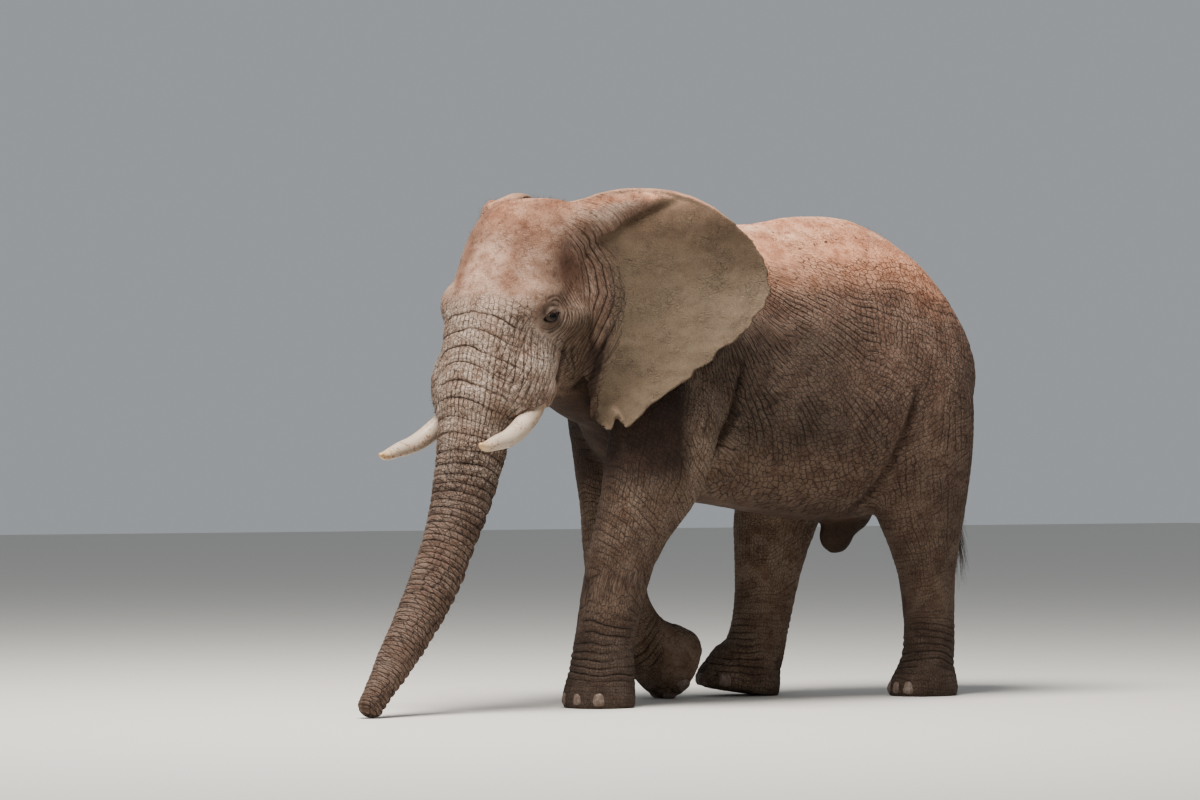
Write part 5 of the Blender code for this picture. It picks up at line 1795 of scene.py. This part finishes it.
def hair_mesh(name, strands, sides, patches):
    """Tapered solid hairs, each a path of points with a radius at its root."""
    verts, faces, uvs = [], [], []
    for (path, radius), home in zip(strands, patches):
        start = len(verts)
        last = len(path) - 1
        for i, point in enumerate(path):
            ahead = (path[min(last, i + 1)] - path[max(0, i - 1)]).normalized()
            across = ahead.cross(Vector((0.31, 0.17, 0.93))).normalized()
            over = ahead.cross(across)
            wide = radius * (1 - 0.85 * i / last)
            verts += round_ring(point, across, over, wide, sides)
        for i in range(last):
            for k in range(sides):
                j = (k + 1) % sides
                a, b = start + i * sides, start + (i + 1) * sides
                faces.append((a + k, a + j, b + j, b + k))
                for u, v in ((k, i), (k + 1, i), (k + 1, i + 1), (k, i + 1)):
                    uvs.append((home[0] + PATCH * u / sides, home[1] + PATCH * v / last))
        faces.append(tuple(start + k for k in reversed(range(sides))))
        faces.append(tuple(start + last * sides + k for k in range(sides)))
        for _ in range(2):
            for k in range(sides):
                angle = 2 * math.pi * k / sides
                uvs.append((home[0] + PATCH * (0.5 + 0.5 * math.cos(angle)),
                            home[1] + PATCH * (0.5 + 0.5 * math.sin(angle))))
    mesh = bpy.data.meshes.new(name)
    mesh.from_pydata([tuple(v) for v in verts], [], faces)
    layer = mesh.uv_layers.new(name="OFBake")
    layer.data.foreach_set("uv", np.array(uvs, np.float32).ravel())
    return mesh


def spread_patches(spots):
    """Place of each hair's patch: its root's place in the box round all the roots."""
    low, high = (Vector(map(end, *spots)) for end in (min, max))
    patches = []
    for spot in spots:
        u = (spot.x - low.x) / max(high.x - low.x, 1e-6)
        v = (spot.y - low.y + spot.z - low.z) / max(high.y - low.y + high.z - low.z, 1e-6)
        patches.append((0.02 + 0.95 * u, 0.02 + 0.95 * v))
    return patches


def drooping(root, way, length, droop, rng, steps, wave):
    """Path of a hair that starts along way and falls."""
    points = [root]
    heading = way.normalized()
    bend = Vector(rng.normal(0, wave, 3))
    for _ in range(steps):
        heading = (heading + Vector((0, 0, -droop)) + bend).normalized()
        points.append(points[-1] + heading * (length / steps))
    return points


TAIL_HAIRS = 420
LASHES = 46
BRISTLES = 2600


def make_tail_hair(material, rng):
    """Long wiry hairs along the end of the tail, on its front and back edges."""
    low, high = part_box("tail_tuft")
    tail_low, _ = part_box("tail")
    x, y = (low.x + high.x) / 2, (low.y + high.y) / 2
    strands, roots = [], []
    for _ in range(TAIL_HAIRS):
        share = rng.random()
        side = 1 if rng.random() < 0.5 else -1
        height = tail_low.z + 0.42 * share**1.6
        angle = rng.normal(0, 0.7) + (0 if side > 0 else math.pi)
        out = Vector((0.25 * math.sin(angle), math.cos(angle), 0))
        root = Vector((x, y, height)) + out * 0.014
        room = root.z - low.z + 0.02
        length = min(room, rng.uniform(0.20, 0.44) * (1 - 0.35 * share))
        path = drooping(root, out + Vector((0, 0, -1.2)), length, 0.35, rng, 7, 0.05)
        strands.append((path, rng.uniform(0.0013, 0.0024)))
        roots.append(root)
    mesh = hair_mesh("tail_hair", strands, 4, spread_patches(roots))
    return show("tail_hair_coat", mesh, material, ["tail_tuft"])


def make_lashes(material, rng):
    """Lashes along both upper lids."""
    strands, roots = [], []
    for side in (1, -1):
        centre, forward, up, outward = eye_frame(side)
        centre = centre + STANDPOINT
        for i in range(LASHES):
            share = -0.92 + 1.84 * (i + rng.random()) / LASHES
            u = share * LID_LENGTH * EYE_RADIUS
            v = LID_TILT * u + LID_RISE * EYE_RADIUS * (1 - share**2) + 0.001
            w = math.sqrt(max((EYE_RADIUS + LID_THICK) ** 2 - u * u - v * v, 0))
            root = centre + forward * u + up * v + outward * (w - 0.002)
            way = outward + forward * (0.25 * share + 0.1) + up * 0.12
            length = rng.uniform(0.030, 0.052) * (1 - 0.35 * abs(share))
            strands.append((drooping(root, way, length, 0.22, rng, 5, 0.04), 0.0009))
            roots.append(root)
    mesh = hair_mesh("lashes", strands, 3, spread_patches(roots))
    return show("lashes_coat", mesh, material, ())


def make_bristles(skin_points, skin_normals, skin_uv, wanted, material, rng):
    """Sparse stiff hairs on the crown, chin, trunk and back."""
    chances = wanted / wanted.sum()
    chosen = rng.choice(len(skin_points), BRISTLES, replace=False, p=chances)
    strands, patches = [], []
    for i in chosen:
        root = Vector(skin_points[i])
        way = Vector(skin_normals[i]) + Vector(rng.normal(0, 0.28, 3)) + Vector((0, 0.25, 0))
        length = rng.uniform(0.014, 0.040)
        strands.append((drooping(root - way * 0.002, way, length, 0.06, rng, 3, 0.06), 0.0007))
        patches.append(tuple(np.clip(skin_uv[i], 0.0, 1 - PATCH)))
    mesh = hair_mesh("bristles", strands, 3, patches)
    return show("bristle_coat", mesh, material, ())


# ---------------------------------------------------------------- floor, light and camera
FLOOR_HALF = 60.0
WORLD_STRENGTH = 0.37
# Disk lamps: name, place, size, power in watts, colour
LAMPS = (
    ("overhead", (1.6, -3.4, 11.5), 6.0, 3900, (1.0, 0.95, 0.89)),
    ("camera_side", (10.0, -14.0, 7.0), 6.0, 520, (1.0, 0.97, 0.93)),
)
LAMP_TARGET = Vector((0, 0, 1.4))


def make_floor():
    """Plain pale floor."""
    bm = bmesh.new()
    bmesh.ops.create_grid(bm, x_segments=2, y_segments=2, size=FLOOR_HALF)
    made, _, shader = finish("matt_pale_floor", Roughness=0.9)
    shader.inputs["Base Color"].default_value = shade_of("#cfccc6")
    floor = place("floor", mesh_of(bm, "floor"))
    floor.data.materials.append(made)


def make_light():
    """Soft room light and two broad lamps."""
    world = bpy.data.worlds.new("soft_room")
    world.use_nodes = True
    background = world.node_tree.nodes["Background"]
    background.inputs["Color"].default_value = (0.90, 0.95, 1.0, 1)
    background.inputs["Strength"].default_value = WORLD_STRENGTH
    bpy.context.scene.world = world
    for name, spot, size, power, colour in LAMPS:
        data = bpy.data.lights.new(name, "AREA")
        data.shape = "DISK"
        data.size = size
        data.energy = power
        data.color = colour
        lamp = place(name, data)
        lamp.location = spot
        aim = LAMP_TARGET - Vector(spot)
        lamp.rotation_euler = aim.to_track_quat("-Z", "Y").to_euler()


CAMERA_AZIMUTH = math.radians(54)
CAMERA_TARGET = (-0.58891, 0.07694)
CAMERA_DISTANCE = 30.0
CAMERA_HEIGHT = 1.46
CAMERA_TILT = math.radians(0.7)
CAMERA_LENS = 146.7


def make_camera():
    """Long lens, level with the animal's middle and turned up a very little."""
    data = bpy.data.cameras.new("camera")
    data.lens = CAMERA_LENS
    data.sensor_width = 36.0
    data.clip_end = 200.0
    camera = place("camera", data)
    out = Vector((math.sin(CAMERA_AZIMUTH), -math.cos(CAMERA_AZIMUTH), 0))
    camera.location = Vector((*CAMERA_TARGET, CAMERA_HEIGHT)) + out * CAMERA_DISTANCE
    aim = -out * math.cos(CAMERA_TILT) + Vector((0, 0, math.sin(CAMERA_TILT)))
    camera.rotation_euler = aim.to_track_quat("-Z", "Y").to_euler()
    bpy.context.scene.camera = camera


# ---------------------------------------------------------------- the animal
TAIL_STATIONS = 40
TAIL_POINTS = 16  # round each of them
FINE_ROUND_EYE = 0.17  # metres round each eye within which the skin's faces are split


def make_skin():
    """The closed skin, before its folds are carved."""
    body = fused(body_forms() + head_forms(), BODY_VOXEL, BODY_SMOOTHING, finer=1)
    tail = loft(path_rings(eased(TAIL, TAIL_STATIONS), count=TAIL_POINTS))
    ears = [make(side) for make in (ear_mesh, ear_bead, ear_swell) for side in (1, -1)]
    mesh = fused([body, *ears, tail], SKIN_VOXEL, SKIN_SMOOTHING)
    for side in (1, -1):
        middle, _, _, outward = eye_frame(side)
        refined(mesh, middle + outward * 0.01, FINE_ROUND_EYE, 2)
    return mesh


def unwrap_of_points(mesh):
    """A place in the unwrap for each point of the mesh."""
    corner = np.empty(len(mesh.loops), np.int32)
    mesh.loops.foreach_get("vertex_index", corner)
    flat = np.empty(len(mesh.loops) * 2, np.float32)
    mesh.uv_layers["OFBake"].data.foreach_get("uv", flat)
    places = np.zeros((len(mesh.vertices), 2))
    places[corner] = flat.reshape(-1, 2)
    return places


def bristle_chances(points, h, at):
    """How thick bristles grow: most on the crown and chin, none on the ears and feet."""
    jaw = at["head"] * smooth(1.95, 1.75, h[:, 2]) * smooth(0.0, 0.3, -h[:, 1])
    crown = at["head"] * smooth(2.7, 2.9, h[:, 2])
    wanted = 0.02 + 0.5 * at["top"] + 2.0 * crown + 3.0 * jaw + 0.5 * at["trunk"]
    return wanted * (1 - at["ear"]) * (points[:, 2] > 0.15) * (at["eye_away"] > 0.08)


def main():
    """Skin first, then what is set in it, then its hair, then the room."""
    mesh = make_skin()
    co, h, measures, at = sculpted(mesh)
    tone, dust = hide_tones(co, h, at)
    for name, columns in measures.items():
        store(mesh, name, columns)
    store(mesh, "tone", tone.T)
    relief = (np.clip(at["cut"] / 0.009, 0, 1), dust, at["ear"], smooth(0.55, 1.0, at["eye"]))
    store(mesh, "relief", relief)
    shares, flats = laid_out(co, h, at)
    unwrapped(mesh, shares, flats)
    mesh.transform(Matrix.Translation(STANDPOINT))
    kept = ("eye", "tusk", "nail", "tuft")
    flesh = [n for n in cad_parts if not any(word in n for word in kept)]
    show("hide", mesh, hide_finish(), flesh)

    mesh.update()
    points, normals = array_of(mesh, "co"), array_of(mesh, "normal")
    eye_look = eye_finish()
    ivory = ivory_finish()
    for side in (1, -1):
        make_eye(side, eye_look)
        make_tusk(side, ivory)
    horn = nail_finish()
    low = np.nonzero(points[:, 2] < 0.5)[0]
    tree = KDTree(len(low))
    for i, index in enumerate(low):
        tree.insert(points[index], i)
    tree.balance()
    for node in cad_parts:
        if "nail" in node:
            make_nail(node, tree, normals[low], horn)

    hair = hair_finish()
    rng = np.random.default_rng(7)
    make_tail_hair(hair, rng)
    make_lashes(hair, rng)
    wanted = bristle_chances(points, h, at)
    make_bristles(points, normals, unwrap_of_points(mesh), wanted, hair, rng)

    make_floor()
    make_light()
    make_camera()


main()
